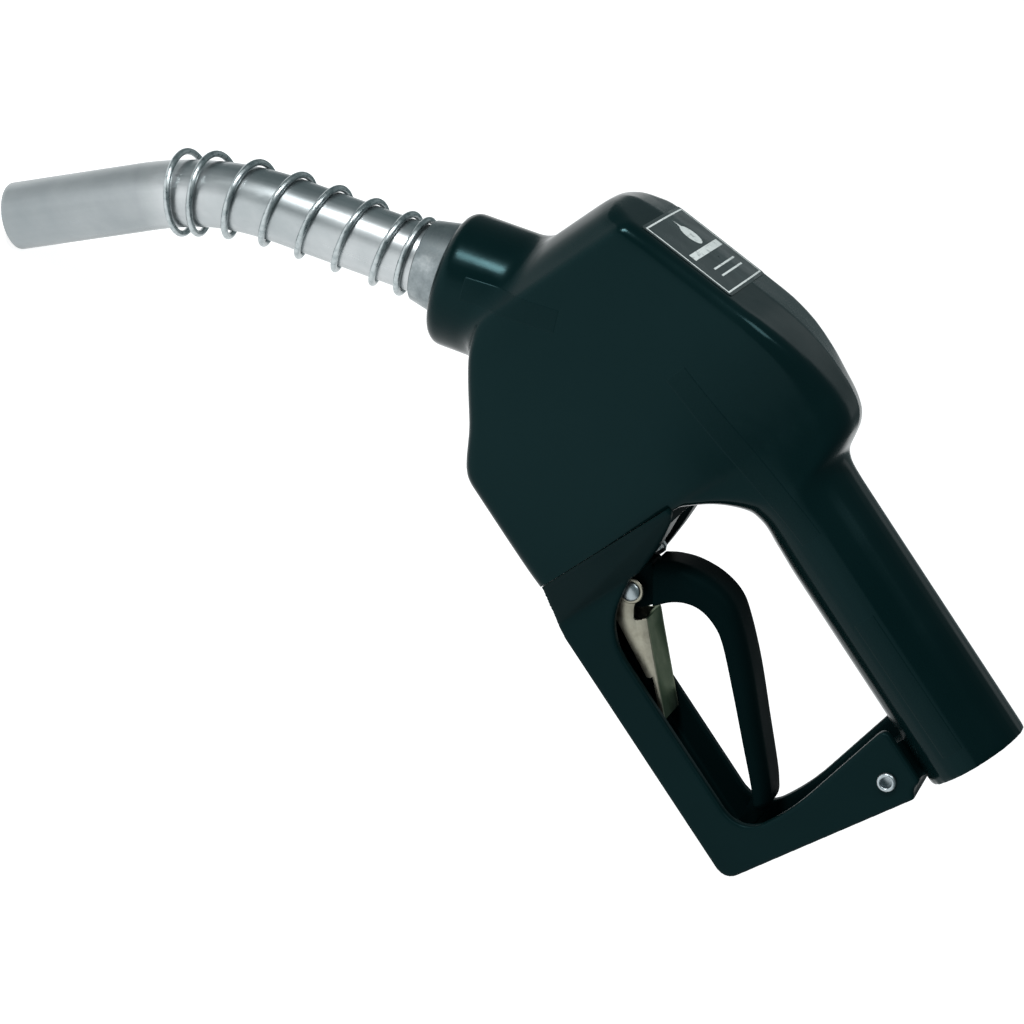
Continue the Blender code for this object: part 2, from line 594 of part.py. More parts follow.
def make_latch():
    """The stem that carries the lever's pin and lets go when the tank is full."""
    tongue = box("latch_stem", (PIVOT_X - 0.5, -3.8, PIVOT_Z - 3.6), (PIVOT_X + 9.0, 3.8, PIVOT_Z + 3.6), STEEL)
    join(tongue, cylinder("tongue_eye", (PIVOT_X, -3.9, PIVOT_Z), (PIVOT_X, 3.9, PIVOT_Z), 5.2),
         cylinder("latch_rod", (PIVOT_X + 8.0, 0, PIVOT_Z), (160.8, 0, PIVOT_Z), 3.9),
         cylinder("latch_collar", (141.4, 0, PIVOT_Z), (142.7, 0, PIVOT_Z), 5.9))
    cut(tongue, pin_hole("tongue_hole"),
        box("release_slot", (147.2, -6.0, PIVOT_Z - 2.4), (157.9, 6.0, PIVOT_Z + 2.4)))
    pin = [(0, -11.4), (2.0, -11.4), (2.5, -10.9), (2.5, 9.9), (3.6, 9.9), (3.9, 10.3), (3.4, 11.4), (0, 11.6)]
    turned("pivot_pin", pin[::-1], (PIVOT_X, 0, PIVOT_Z), (0, 1, 0), ALUMINIUM, sides=16)
    washer = [(2.8, -10.0), (2.8, -10.8), (4.4, -10.8), (4.4, -10.0)]
    turned("pin_retaining_ring", washer, (PIVOT_X, 0, PIVOT_Z), (0, 1, 0), STEEL, sides=16)
    bush = [(6.0, 3.4), (6.0, 0.2), (4.3, 0.2), (4.3, 3.4)]
    turned("latch_bush", bush, (SEAM_X, 0, PIVOT_Z), (1, 0, 0), BRASS)
    wire("latch_spring", helix((134.0, 0, PIVOT_Z), (1, 0, 0), 6.4, 5.1, 3), 0.45, STEEL, 0)


def make_clip():
    """The hold-open clip: two cheeks on the pin, joined by a web that the lever rests on."""
    half = CLIP_HALF_WIDTH
    arm = [(PIVOT_X + 4.6, PIVOT_Z + 1.6, 2.5), (PIVOT_X - 1.6, PIVOT_Z + 5.0, 2.5), (106.0, -72.0, 1.5),
           (101.6, -75.2, 1.0), (99.4, -70.9, 0.5), (81.0, -79.6, 0.8), (81.6, -82.9, 1.2), (86.0, -82.4, 1.5),
           (106.4, -80.2, 2.0), (113.6, -76.4, 3.0)]
    clip = plate("hold_open_clip", rounded(arm, 3), half - CLIP_SHEET, half, NICKEL)
    web = [(100.4, -72.3), (99.8, -70.8), (65.8, -86.2), (66.5, -87.5)]
    join(clip, plate("clip_far_cheek", rounded(arm, 3), -half, CLIP_SHEET - half),
         plate("clip_web", web, 0.1 - half, half - 0.1))
    cut(clip, pin_hole("clip_pin_hole"))
    coil_radius = 3.7
    points = []
    for k in range(11):
        angle = math.radians(36 * k)
        points.append((PIVOT_X + coil_radius * math.cos(angle), -6.8 - 0.09 * k,
                       PIVOT_Z + coil_radius * math.sin(angle)))
    wire("clip_spring", points, 0.35, STEEL, 0)
    return clip


# ---------------------------------------------------------------- main valve
def make_main_valve():
    axis = (1, 0, 0)
    stem_profile = [(0, 182.0), (2.4, 182.0), (STEM_RADIUS, 181.2), (STEM_RADIUS, STEM_REAR + 1.5),
                    (1.6, STEM_REAR), (0, STEM_REAR)]
    turned("valve_stem", stem_profile, (0, 0, STEM_Z), axis, STEEL)
    seat = [(9.0, 167.0), (12.0, 167.0), (13.2, 166.2), (13.2, SEAT_X), (8.8, SEAT_X), (8.8, 166.4)]
    turned("valve_seat", seat, (0, 0, STEM_Z), axis, BRASS)
    disc = [(STEM_BORE, 169.4), (11.4, 169.4), (11.4, 167.4), (STEM_BORE, 167.4)]
    turned("seat_disc", disc, (0, 0, STEM_Z), axis, RUBBER, sides=20)
    poppet = [(STEM_BORE, 175.4), (5.4, 175.4), (6.6, 173.0), (11.8, 172.2), (11.8, 169.7), (STEM_BORE, 169.7)]
    turned("main_poppet", poppet, (0, 0, STEM_Z), axis, BRASS)
    nut = bore("poppet_nut", 175.8, 179.4, 5.2, STEM_Z, material=STEEL, sides=6)
    cut(nut, bore("nut_bore", 175, 180, STEM_BORE, STEM_Z, sides=16))
    wire("valve_spring", helix((173.9, 0, STEM_Z), axis, 19.0, 8.6, 5), 0.9, STEEL, 0)
    gland = bore("stem_gland", GLAND_FACE, GLAND_FACE + 4.6, 6.3, STEM_Z, material=BRASS, sides=6)
    join(gland, bore("gland_thread", GLAND_FACE + 2.0, 138.4, 5.0, STEM_Z))
    cut(gland, bore("gland_bore", 124, 140, STEM_BORE, STEM_Z))
    packing = [(STEM_BORE, 141.6), (5.0, 141.6), (5.0, 138.7), (STEM_BORE, 138.7)]
    turned("stem_packing", packing, (0, 0, STEM_Z), axis, RUBBER)


# ---------------------------------------------------------------- automatic shut-off
def make_shut_off():
    """The diaphragm in the side of the casting, with its release pin, spring and screwed cap."""
    point = (RELEASE_X, 0, PIVOT_Z)
    axis = (0, -1, 0)
    disc = [(2.4, 16.0), (16.2, 16.0), (16.2, 15.1), (2.4, 15.1)]
    diaphragm = turned("diaphragm", disc, point, axis, RUBBER)
    pin = [(0, 17.4), (8.0, 17.4), (8.0, 16.4), (2.0, 16.4), (2.0, -2.8), (1.0, -3.6), (0, -3.6)]
    turned("release_pin", pin, point, axis, STEEL, sides=16)
    cap = [(0, 23.0), (15.2, 23.0), (16.2, 22.2), (16.2, 16.3), (10.6, 16.3), (10.6, 20.8), (0, 20.8)]
    cover = turned("diaphragm_cap", cap, point, axis, CAST)
    wire("diaphragm_spring", helix((RELEASE_X, -17.9, PIVOT_Z), axis, 2.4, 5.5, 3), 0.3, STEEL, 0)
    for number, (x, z) in enumerate(cap_screw_places(), 1):
        cut(diaphragm, cross_bore("diaphragm_hole", -18, -12, CAP_SCREW_HOLE, x, z, sides=16))
        cut(cover, cross_bore("cap_hole", -28, -12, CAP_SCREW_HOLE, x, z, sides=16))
        screw = [(0, 24.4), (2.0, 24.4), (2.3, 24.0), (2.3, 23.3), (1.1, 23.3), (1.1, 12.2), (0, 12.2)]
        turned(f"cap_screw_{number}", screw, (x, 0, z), axis, STEEL, sides=12)


# ---------------------------------------------------------------- inlet and outlet
def make_inlet():
    cup = [(12.9, 12.6), (12.9, 14.2), (9.6, 14.2), (9.6, 44.0), (3.0, 44.0), (3.0, 43.0), (8.8, 43.0),
           (8.8, 12.6)]
    turned("inlet_strainer", cup, (0, 0, 0), (1, 0, 0), NICKEL)


def make_adapter():
    profile = [(14.6, 7.7), (16.9, -4.6), (17.2, -5.2), (15.2, -5.2), (15.2, -34.0), (7.5, -34.0), (7.5, -31.0),
               (11.0, -30.4), (11.0, -14.2), (12.5, -14.2), (12.5, -10.6), (13.9, -10.6), (13.9, -8.4),
               (12.5, -8.4), (12.5, 7.7)]
    adapter = turned("spout_adapter", profile[::-1], on_spout(0), direction(SPOUT_PITCH), ZINC)
    cut(adapter, set_screw_bore("set_screw_dimple", 14.0, 22.0, 2.3))
    ring = [(12.6, -8.7), (13.6, -8.7), (13.6, -10.3), (12.6, -10.3)]
    turned("spout_seal", ring, on_spout(0), direction(SPOUT_PITCH), RUBBER)
    set_screw_bore("spout_set_screw", 14.5, 18.2, 2.0, STEEL, sides=12)
    guide = [(2.4, -14.8), (10.7, -14.8), (10.7, -17.4), (2.4, -17.4)]
    spider = turned("check_guide", guide, on_spout(0), direction(SPOUT_PITCH), BRASS)
    port_circle = 6.6
    for k in range(3):
        angle = math.radians(90 + 120 * k)
        lift, side = port_circle * math.sin(angle), port_circle * math.cos(angle)
        cut(spider, cylinder("guide_port", spout_frame(-20, lift, side)[0], spout_frame(-12, lift, side)[0],
                             2.6, sides=16))
    poppet = [(0, -12.0), (2.0, -12.0), (2.0, -26.4), (9.4, -27.4), (9.4, -28.6), (6.4, -31.4), (0, -31.4)]
    turned("check_poppet", poppet, on_spout(0), direction(SPOUT_PITCH), BRASS, sides=16)
    wire("check_spring", helix(on_spout(-26.2), direction(SPOUT_PITCH), 8.0, 5.6, 4), 0.45, STEEL, 0)


def tube_shell(name, radius, wall, start, end, material, sides=24):
    """A bent tube: rings along the spout's centre line, outside first and then back along the bore."""
    arc = BEND_RADIUS * abs(SPOUT_BEND)
    stations = [start] + [BEND_START + arc * k / 6 for k in range(7)] + [end]
    rings = []
    for reach in (radius, radius - wall):
        for station in stations:
            point, _, normal = spout_frame(station)
            rings.append([point + normal * reach * math.sin(a) + Vector((0, reach * math.cos(a), 0))
                          for a in (2 * math.pi * k / sides for k in range(sides))])
        stations = stations[::-1]
    bm = bmesh.new()
    rows = [[bm.verts.new(point) for point in ring] for ring in rings]
    for row, following in zip(rows, rows[1:] + rows[:1]):
        for i in range(sides):
            j = (i + 1) % sides
            bm.faces.new((row[i], row[j], following[j], following[i]))
    return finish(bm, name, material)


def make_spout():
    """The spout's tube, and inside it the thin tube that leads from the sensing hole to the shut-off."""
    tube = tube_shell("spout_tube", TUBE_RADIUS, TUBE_WALL, -13.8, SPOUT_LENGTH, ALUMINIUM)
    sensing = SPOUT_LENGTH - 15.0
    cut(tube, cylinder("sensing_hole", on_spout(sensing, 8.0), on_spout(sensing, 15.0), 1.8, sides=16))
    vacuum_radius = 2.0
    drop = TUBE_RADIUS - TUBE_WALL - vacuum_radius - 2 * GAP
    first = -10.0
    last = SPOUT_LENGTH - 12.0
    count = 18
    line = [on_spout(first + (last - first) * k / count, drop) for k in range(count + 1)]
    wire("vacuum_tube", line, vacuum_radius, ALUMINIUM, 1)


def coil_station(turn):
    """Station of the spout spring after a number of turns: closed at both ends, open between."""
    stations = (9.3, 10.6, 17.0, 31.0, 45.2, 59.6, 74.6, 89.6, 99.6, 104.0)
    turn = min(max(turn + 1.0, 0.0), len(stations) - 1.001)
    low = int(turn)
    share = turn - low
    before = stations[max(low - 1, 0)]
    after = stations[min(low + 2, len(stations) - 1)]
    a, b = stations[low], stations[low + 1]
    # Catmull-Rom between the turns, so that the pitch changes smoothly
    return 0.5 * ((2 * a) + (b - before) * share + (2 * before - 5 * a + 4 * b - after) * share ** 2
                  + (3 * a - before - 3 * b + after) * share ** 3)


def make_spout_spring():
    """The spring wound round the spout: snug on the straight stretch and looser round the bend."""
    radius = TUBE_RADIUS + 0.45 + WIRE_RADIUS
    loose_from = 70.0
    loose_over = 30.0
    per_turn = 12
    points = []
    for k in range(int(COIL_FIRST_TURN * per_turn), int(COIL_LAST_TURN * per_turn) + 1):
        turn = k / per_turn
        angle = math.pi / 2 - 2 * math.pi * turn
        station = coil_station(turn)
        loose = COIL_SLACK * min(max((station - loose_from) / loose_over, 0.0), 1.0)
        reach = radius + loose
        points.append(spout_frame(station, reach * math.sin(angle) + loose * 0.6, reach * math.cos(angle))[0])
    return wire("spout_spring", points, WIRE_RADIUS, STEEL, 1)


def set_origin(name, point):
    """Move an object's origin to a point without moving its mesh."""
    piece = PARTS.objects[name]
    offset = Vector(point) * MM
    piece.data.transform(Matrix.Translation(-offset))
    piece.location = offset


make_cover()
make_casting()
make_label()
make_guard()
make_guard_hardware()
make_lever()
make_latch()
make_clip()
make_main_valve()
make_shut_off()
make_inlet()
make_adapter()
make_spout()
make_spout_spring()

# moving pieces have their origins on the axes that they turn about or slide along
for moving in ("latch_stem", "pivot_pin", "pin_retaining_ring", "lever", "hold_open_clip", "clip_spring"):
    set_origin(moving, (PIVOT_X, 0.0, PIVOT_Z))
for moving in ("valve_stem", "main_poppet", "seat_disc", "poppet_nut"):
    set_origin(moving, (SEAT_X, 0.0, STEM_Z))
set_origin("release_pin", (RELEASE_X, 0.0, PIVOT_Z))
set_origin("check_poppet", on_spout(-20.0))
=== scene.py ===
import json
import math

import bmesh
import bpy
import numpy as np
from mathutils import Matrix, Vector


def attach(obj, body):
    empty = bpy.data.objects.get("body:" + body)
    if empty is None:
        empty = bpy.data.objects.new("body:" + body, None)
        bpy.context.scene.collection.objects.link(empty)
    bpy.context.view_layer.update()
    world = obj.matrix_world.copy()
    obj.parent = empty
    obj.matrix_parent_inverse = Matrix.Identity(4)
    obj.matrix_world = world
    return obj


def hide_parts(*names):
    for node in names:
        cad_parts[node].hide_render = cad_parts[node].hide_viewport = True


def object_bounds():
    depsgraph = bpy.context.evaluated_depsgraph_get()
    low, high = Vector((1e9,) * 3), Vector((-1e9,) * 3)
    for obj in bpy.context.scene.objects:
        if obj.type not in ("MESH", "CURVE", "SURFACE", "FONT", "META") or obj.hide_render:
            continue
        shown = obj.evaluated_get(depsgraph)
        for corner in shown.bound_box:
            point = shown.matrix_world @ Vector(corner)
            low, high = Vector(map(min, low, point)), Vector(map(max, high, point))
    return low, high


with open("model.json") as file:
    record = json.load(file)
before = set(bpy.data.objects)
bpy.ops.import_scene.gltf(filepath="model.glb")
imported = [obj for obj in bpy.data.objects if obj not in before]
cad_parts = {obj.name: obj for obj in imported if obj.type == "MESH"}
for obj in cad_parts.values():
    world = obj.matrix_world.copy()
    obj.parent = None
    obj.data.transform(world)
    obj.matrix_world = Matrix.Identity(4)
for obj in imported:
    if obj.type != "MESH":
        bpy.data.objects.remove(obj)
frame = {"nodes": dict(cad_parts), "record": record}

CAD_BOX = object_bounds()
MM = 0.001

# ---------------------------------------------------------------- dimensions of the design, in millimetres
COVER_WALL = 2.2
CASTING_INSET = 2.9
SEAM_X = 129.5
SPOUT_BASE = Vector((240.0, 0.0, -65.4))
SPOUT_PITCH = math.radians(-38.4)
SPOUT_BEND = math.radians(-26.6)
BEND_START = 58.0
BEND_RADIUS = 126.0
STRAIGHT_TIP = 52.0
SPOUT_LENGTH = BEND_START + BEND_RADIUS * abs(SPOUT_BEND) + STRAIGHT_TIP
TUBE_RADIUS = 12.2
TUBE_BORE = 11.0
WIRE_RADIUS = 1.2
COLLAR_RADIUS = 24.0
COLLAR_DROP = 2.0
COLLAR_FRONT = -3.0
PIVOT = (110.8, -70.0)
STEM_Z = -56.0
RIVET = (10.3, -27.3)
GUARD_HALF = 16.0
GUARD_CHANNEL = 12.0
GUARD_BOTTOM = -98.0
GUARD_SCREWS = (8.2, -82.3)
RIVET_HOLE = 3.3
PIN_HOLE = 2.7
LEVER_HALF = 11.2
HUB_HALF = 6.2
TAIL_HALF = 5.5
CLIP_HALF = 9.4
CLIP_SHEET = 1.1
LABEL_SPAN = (177.5, 213.0)
LABEL_HALF = 23.0
CAMERA_PLACE = (0.186848, 0.970696, 0.321723)       # metres
CAMERA_TURN = (51.478, -50.715, -150.194)           # degrees about X, Y and Z
FOCAL_LENGTH = 105.469
SENSOR_WIDTH = 36.0


# ---------------------------------------------------------------- meshes
def mesh_object(name, points, faces):
    """A mesh object from points in millimetres."""
    mesh = bpy.data.meshes.new(name)
    mesh.from_pydata([tuple(c * MM for c in point) for point in points], [], faces)
    bm = bmesh.new()
    bm.from_mesh(mesh)
    bmesh.ops.remove_doubles(bm, verts=bm.verts, dist=1e-6)
    bmesh.ops.recalc_face_normals(bm, faces=bm.faces)
    bm.to_mesh(mesh)
    bm.free()
    piece = bpy.data.objects.new(name, mesh)
    bpy.context.scene.collection.objects.link(piece)
    return piece


def apply_modifiers(piece):
    evaluated = piece.evaluated_get(bpy.context.evaluated_depsgraph_get())
    mesh = bpy.data.meshes.new_from_object(evaluated)
    piece.modifiers.clear()
    old = piece.data
    piece.data = mesh
    bpy.data.meshes.remove(old)
    return piece


def combine(piece, operation, *tools, solver="EXACT"):
    """Add or cut away the tools, and remove them."""
    for tool in tools:
        modifier = piece.modifiers.new("solid", "BOOLEAN")
        modifier.operation = operation
        modifier.solver = solver
        modifier.object = tool
    apply_modifiers(piece)
    for tool in tools:
        bpy.data.objects.remove(tool, do_unlink=True)
    return piece


def cut(piece, *tools, **options):
    return combine(piece, "DIFFERENCE", *tools, **options)


def join(piece, *others):
    """Put other solids into the piece's mesh as they are."""
    bm = bmesh.new()
    for part in (piece, *others):
        bm.from_mesh(part.data)
    bm.to_mesh(piece.data)
    bm.free()
    for part in others:
        bpy.data.objects.remove(part, do_unlink=True)
    return piece


def fuse(piece, voxel, smoothing):
    """Melt overlapping solids into one skin and soften its edges."""
    remesh = piece.modifiers.new("skin", "REMESH")
    remesh.mode = "VOXEL"
    remesh.voxel_size = voxel * MM
    remesh.adaptivity = 0.0
    soft = piece.modifiers.new("soft", "SMOOTH")
    soft.factor = 0.5
    soft.iterations = smoothing
    return apply_modifiers(piece)


def fill_corners(piece, reach, voxel):
    """Give the inward corners of a skin fillets of this reach: it swells, melts together and shrinks back."""
    for step in (reach, -reach):
        swell = piece.modifiers.new("swell", "DISPLACE")
        swell.strength = step * MM
        swell.mid_level = 0.0
        remesh = piece.modifiers.new("skin", "REMESH")
        remesh.mode = "VOXEL"
        remesh.voxel_size = voxel * MM
        soft = piece.modifiers.new("soft", "SMOOTH")
        soft.factor = 0.5
        soft.iterations = 4
    return apply_modifiers(piece)


def beyond(piece, x):
    """Keep only the stretch of a skin in front of the plane at x, and close its end."""
    bm = bmesh.new()
    bm.from_mesh(piece.data)
    bmesh.ops.bisect_plane(bm, geom=bm.verts[:] + bm.edges[:] + bm.faces[:], plane_co=(x * MM, 0, 0),
                           plane_no=(1, 0, 0), clear_inner=True)
    bmesh.ops.holes_fill(bm, edges=bm.edges, sides=0)
    bmesh.ops.recalc_face_normals(bm, faces=bm.faces)
    bm.to_mesh(piece.data)
    bm.free()
    return piece


def copy_of(piece, name):
    twin = bpy.data.objects.new(name, piece.data.copy())
    bpy.context.scene.collection.objects.link(twin)
    return twin


def bevel(piece, width, segments=3, angle=35):
    modifier = piece.modifiers.new("edges", "BEVEL")
    modifier.width = width * MM
    modifier.segments = segments
    modifier.limit_method = "ANGLE"
    modifier.angle_limit = math.radians(angle)
    modifier.harden_normals = False
    return apply_modifiers(piece)


def shade(piece, angle=35):
    piece.data.shade_smooth()
    piece.data.set_sharp_from_angle(angle=math.radians(angle))
    return piece


def loft(name, rings, closed=False):
    """A skin through rings of equal point counts, with flat ends unless the rings form a closed loop."""
    count = len(rings[0])
    points = [point for ring in rings for point in ring]
    faces = []
    pairs = range(len(rings) if closed else len(rings) - 1)
    for r in pairs:
        a, b = r * count, (r + 1) % len(rings) * count
        faces += [(a + i, a + (i + 1) % count, b + (i + 1) % count, b + i) for i in range(count)]
    if not closed:
        faces.append(tuple(range(count - 1, -1, -1)))
        faces.append(tuple(range((len(rings) - 1) * count, len(rings) * count)))
    return mesh_object(name, points, faces)


def axes_of(axis):
    """Two directions square to the axis."""
    axis = Vector(axis).normalized()
    side = axis.orthogonal().normalized() if abs(axis.y) > 0.9 else Vector((0, 1, 0))
    side = (side - axis * side.dot(axis)).normalized()
    return side, axis.cross(side)


def turned(name, profile, point, axis, sides=64):
    """Turn a closed profile of (radius, station) points about the axis through the point."""
    axis = Vector(axis).normalized()
    side, up = axes_of(axis)
    rings = [[Vector(point) + axis * station + (side * math.cos(a) + up * math.sin(a)) * max(radius, 1e-4)
              for a in (2 * math.pi * k / sides for k in range(sides))] for radius, station in profile]
    return loft(name, rings, closed=True)


def cylinder(name, start, end, radius, sides=48):
    start, end = Vector(start), Vector(end)
    side, up = axes_of(end - start)
    return loft(name, [[point + (side * math.cos(a) + up * math.sin(a)) * radius
                        for a in (2 * math.pi * k / sides for k in range(sides))] for point in (start, end)])


def box(name, low, high):
    rings = [[(x, low[1], low[2]), (x, high[1], low[2]), (x, high[1], high[2]), (x, low[1], high[2])]
             for x in (low[0], high[0])]
    return loft(name, rings)


def plate(name, outline, low, high):
    """An outline in the XZ plane, given thickness along Y."""
    return loft(name, [[(x, y, z) for x, z in outline] for y in (low, high)])


def arc_between(first, corner, last, steps):
    legs = (first - corner).normalized().dot((last - corner).normalized())
    weight = math.sqrt(max(0.0, (1.0 - legs) / 2.0))
    points = []
    for k in range(steps + 1):
        u = k / steps
        parts = ((1 - u) ** 2, 2 * u * (1 - u) * weight, u * u)
        points.append((first * parts[0] + corner * parts[1] + last * parts[2]) / sum(parts))
    return points


def rounded(corners, steps=8):
    """Points of a closed outline whose corners (x, z, setback) are rounded by arcs."""
    points = []
    for i, (x, z, setback) in enumerate(corners):
        here = Vector((x, z))
        if setback == 0:
            points.append(here)
            continue
        before = Vector(corners[i - 1][:2]) - here
        after = Vector(corners[(i + 1) % len(corners)][:2]) - here
        reach = min(setback, 0.49 * before.length, 0.49 * after.length)
        points += arc_between(here + before.normalized() * reach, here,
                              here + after.normalized() * reach, steps)
    return points


def through(points, per_span):
    """A smooth curve through the points, with a number of steps from each to the next."""
    points = [Vector(p) for p in points]
    ends = [2 * points[0] - points[1]] + points + [2 * points[-1] - points[-2]]
    curve = []
    for a, b, c, d in zip(ends, ends[1:], ends[2:], ends[3:]):
        for k in range(per_span):
            t = k / per_span
            curve.append(0.5 * (2 * b + (c - a) * t + (2 * a - 5 * b + 4 * c - d) * t ** 2
                                + (3 * b - a - 3 * c + d) * t ** 3))
    return curve + [points[-1]]


def wire(name, points, radius, sides=16):
    """A round wire along the points, its frame carried from point to point without twist."""
    points = [Vector(p) for p in points]
    tangents = [(b - a).normalized() for a, b in zip([points[0]] + points[:-1], points[1:] + [points[-1]])]
    side = tangents[0].orthogonal().normalized()
    rings = []
    for i, (point, tangent) in enumerate(zip(points, tangents)):
        side = (side - tangent * side.dot(tangent)).normalized()
        up = tangent.cross(side)
        rings.append([point + (side * math.cos(a) + up * math.sin(a)) * radius
                      for a in (2 * math.pi * k / sides for k in range(sides))])
    for end, near, sign in ((0, 0, -1), (len(rings), -1, 1)):
        caps = []
        for lift in (0.5, 0.85):
            centre = points[near] + tangents[near] * sign * radius * lift
            scale = math.sqrt(1 - lift ** 2)
            caps.append([centre + (p - points[near]) * scale for p in rings[near]])
        rings = caps[::-1] + rings if sign < 0 else rings + caps
    return loft(name, rings)


# ---------------------------------------------------------------- spout line
def direction(angle):
    return Vector((math.cos(angle), 0.0, math.sin(angle)))


def spout_frame(station):
    """Point, tangent and in-plane normal of the spout's centre line."""
    arc = min(max(station - BEND_START, 0.0), BEND_RADIUS * abs(SPOUT_BEND))
    heading = SPOUT_PITCH - arc / BEND_RADIUS
    tangent = direction(heading)
    normal = direction(heading + math.pi / 2)
    point = SPOUT_BASE + direction(SPOUT_PITCH) * min(station, BEND_START)
    if station > BEND_START:
        point += (normal - direction(SPOUT_PITCH + math.pi / 2)) * BEND_RADIUS
        point += tangent * max(station - BEND_START - arc, 0.0)
    return point, tangent, normal


def on_spout(station, lift=0.0):
    point, _, normal = spout_frame(station)
    return point + normal * lift


# ---------------------------------------------------------------- body form
# X, floor, then half width, height and setback of the bottom, middle and top corners, and the roof's crown
HANDLE_STATIONS = [
    (0.0, -18.4, 18.4, -18.4, 18.4, 18.4, 0.0, 2.0, 18.4, 18.4, 18.4, 0.0),
    (84.0, -18.4, 18.4, -18.4, 18.4, 18.4, 0.0, 2.0, 18.4, 18.4, 18.4, 0.0),
    (98.0, -17.6, 18.6, -17.6, 17.0, 18.7, 0.0, 2.0, 18.4, 18.4, 18.4, 0.0),
    (107.0, -16.2, 19.4, -16.2, 14.0, 19.5, 0.0, 3.0, 18.2, 18.6, 17.6, 0.1),
    (112.0, -16.6, 20.2, -16.6, 12.0, 20.2, 0.5, 3.5, 17.4, 19.6, 14.5, 0.3),
    (114.5, -17.8, 20.8, -17.8, 10.5, 20.4, 1.0, 4.0, 16.2, 23.0, 11.5, 0.8),
    (118.0, -20.4, 21.8, -20.4, 9.0, 20.8, 1.5, 5.0, 15.4, 27.4, 9.0, 1.6),
    (122.0, -24.6, 23.2, -24.6, 7.5, 21.3, 1.0, 6.0, 15.6, 29.6, 8.0, 2.2),
    (126.0, -31.0, 24.8, -31.0, 6.0, 22.0, 0.0, 7.0, 16.4, 30.4, 7.5, 2.6),
    (129.1, -37.0, 26.2, -37.0, 5.0, 24.2, -12.0, 8.0, 17.0, 30.7, 7.0, 2.8),
]
BODY_STATIONS = [
    (129.2, -91.5, 27.2, -91.5, 4.5, 26.2, -24.0, 8.0, 17.0, 30.7, 7.0, 2.8),
    (131.1, -91.5, 27.6, -91.5, 4.5, 27.0, -25.0, 8.0, 17.3, 30.8, 7.0, 2.8),
    (140.0, -91.5, 28.3, -91.5, 4.5, 28.1, -24.0, 9.0, 20.0, 31.0, 6.5, 2.6),
    (152.0, -91.5, 28.5, -91.5, 4.5, 28.5, -23.0, 9.0, 24.8, 29.9, 6.0, 2.3),
    (164.0, -91.5, 28.5, -91.5, 4.5, 28.5, -22.0, 9.0, 27.8, 27.1, 5.5, 2.2),
    (172.5, -91.5, 28.5, -91.5, 4.5, 28.5, -21.0, 9.0, 28.4, 24.1, 5.0, 2.2),
    (190.0, -79.6, 28.5, -79.6, 4.5, 28.5, -20.0, 9.0, 28.4, 17.9, 5.0, 2.2),
    (208.0, -67.3, 28.3, -67.3, 4.5, 28.5, -22.0, 9.0, 28.4, 11.5, 5.0, 2.2),
    (214.5, -61.4, 27.6, -61.4, 5.0, 28.3, -22.0, 9.0, 28.2, 9.0, 5.5, 2.2),
    (216.2, -58.9, 27.2, -58.9, 5.0, 28.0, -22.0, 9.0, 27.9, 8.2, 5.5, 2.2),
    (219.0, -54.0, 24.0, -54.0, 6.0, 25.4, -22.0, 9.0, 25.4, 7.0, 6.0, 2.0),
    (223.5, -46.0, 18.0, -46.0, 7.0, 20.5, -21.0, 8.0, 20.8, 4.6, 6.5, 1.7),
    (226.6, -38.0, 10.0, -38.0, 5.0, 12.5, -19.0, 6.0, 12.5, 1.8, 5.0, 1.0),
    (227.8, -34.0, 5.0, -34.0, 3.0, 6.0, -17.0, 3.0, 6.0, -1.0, 3.0, 0.5),
]


def monotone(table, x):
    """The table's columns at x, by monotone cubics, so that no width overshoots its stations."""
    table = np.array(table)
    xs, ys = table[:, 0], table[:, 1:]
    steps = np.diff(xs)[:, None]
    slopes = np.diff(ys, axis=0) / steps
    ends = np.zeros_like(ys)
    ends[1:-1] = np.where(slopes[:-1] * slopes[1:] > 0,
                          2 * slopes[:-1] * slopes[1:] / np.where(slopes[:-1] + slopes[1:] == 0, 1,
                                                                  slopes[:-1] + slopes[1:]), 0)
    ends[0], ends[-1] = slopes[0], slopes[-1]
    i = int(np.clip(np.searchsorted(xs, x) - 1, 0, len(xs) - 2))
    h = steps[i, 0]
    t = (x - xs[i]) / h
    return (ys[i] * (1 + 2 * t) * (1 - t) ** 2 + ends[i] * h * t * (1 - t) ** 2
            + ys[i + 1] * t * t * (3 - 2 * t) - ends[i + 1] * h * t * t * (1 - t))


def section(x, values, inset, steps=8):
    """A closed ring of points round the body at x, with its walls moved in by the inset."""
    floor, *numbers, crown = values
    corners = [numbers[i:i + 3] for i in (0, 3, 6)]
    inner = [Vector((width - inset, height + inset * rise))
             for (width, height, _), rise in zip(corners, (1, 0, -1))]
    ends = [Vector((0.0, floor + inset))] + inner + [Vector((0.0, corners[2][1] + crown - inset))]
    legs = [(after - before).length for before, after in zip(ends, ends[1:])]
    low, middle, high = [max(setback - inset, 0.6) for _, _, setback in corners]
    low = min(low, legs[0] * 0.98, legs[1] - 0.4)
    high = min(high, legs[2] - 0.4, legs[3] * 0.98)
    middle = min(middle, legs[1] - low, legs[2] - high) - 0.1
    half = [ends[0]]
    for i, reach in enumerate((low, middle, high)):
        here = inner[i]
        before = (ends[i] - here).normalized()
        after = (ends[i + 2] - here).normalized()
        half += arc_between(here + before * reach, here, here + after * reach, steps)
    half.append(ends[-1])
    return [(x, p.x, p.y) for p in half] + [(x, -p.x, p.y) for p in half[-2:0:-1]]


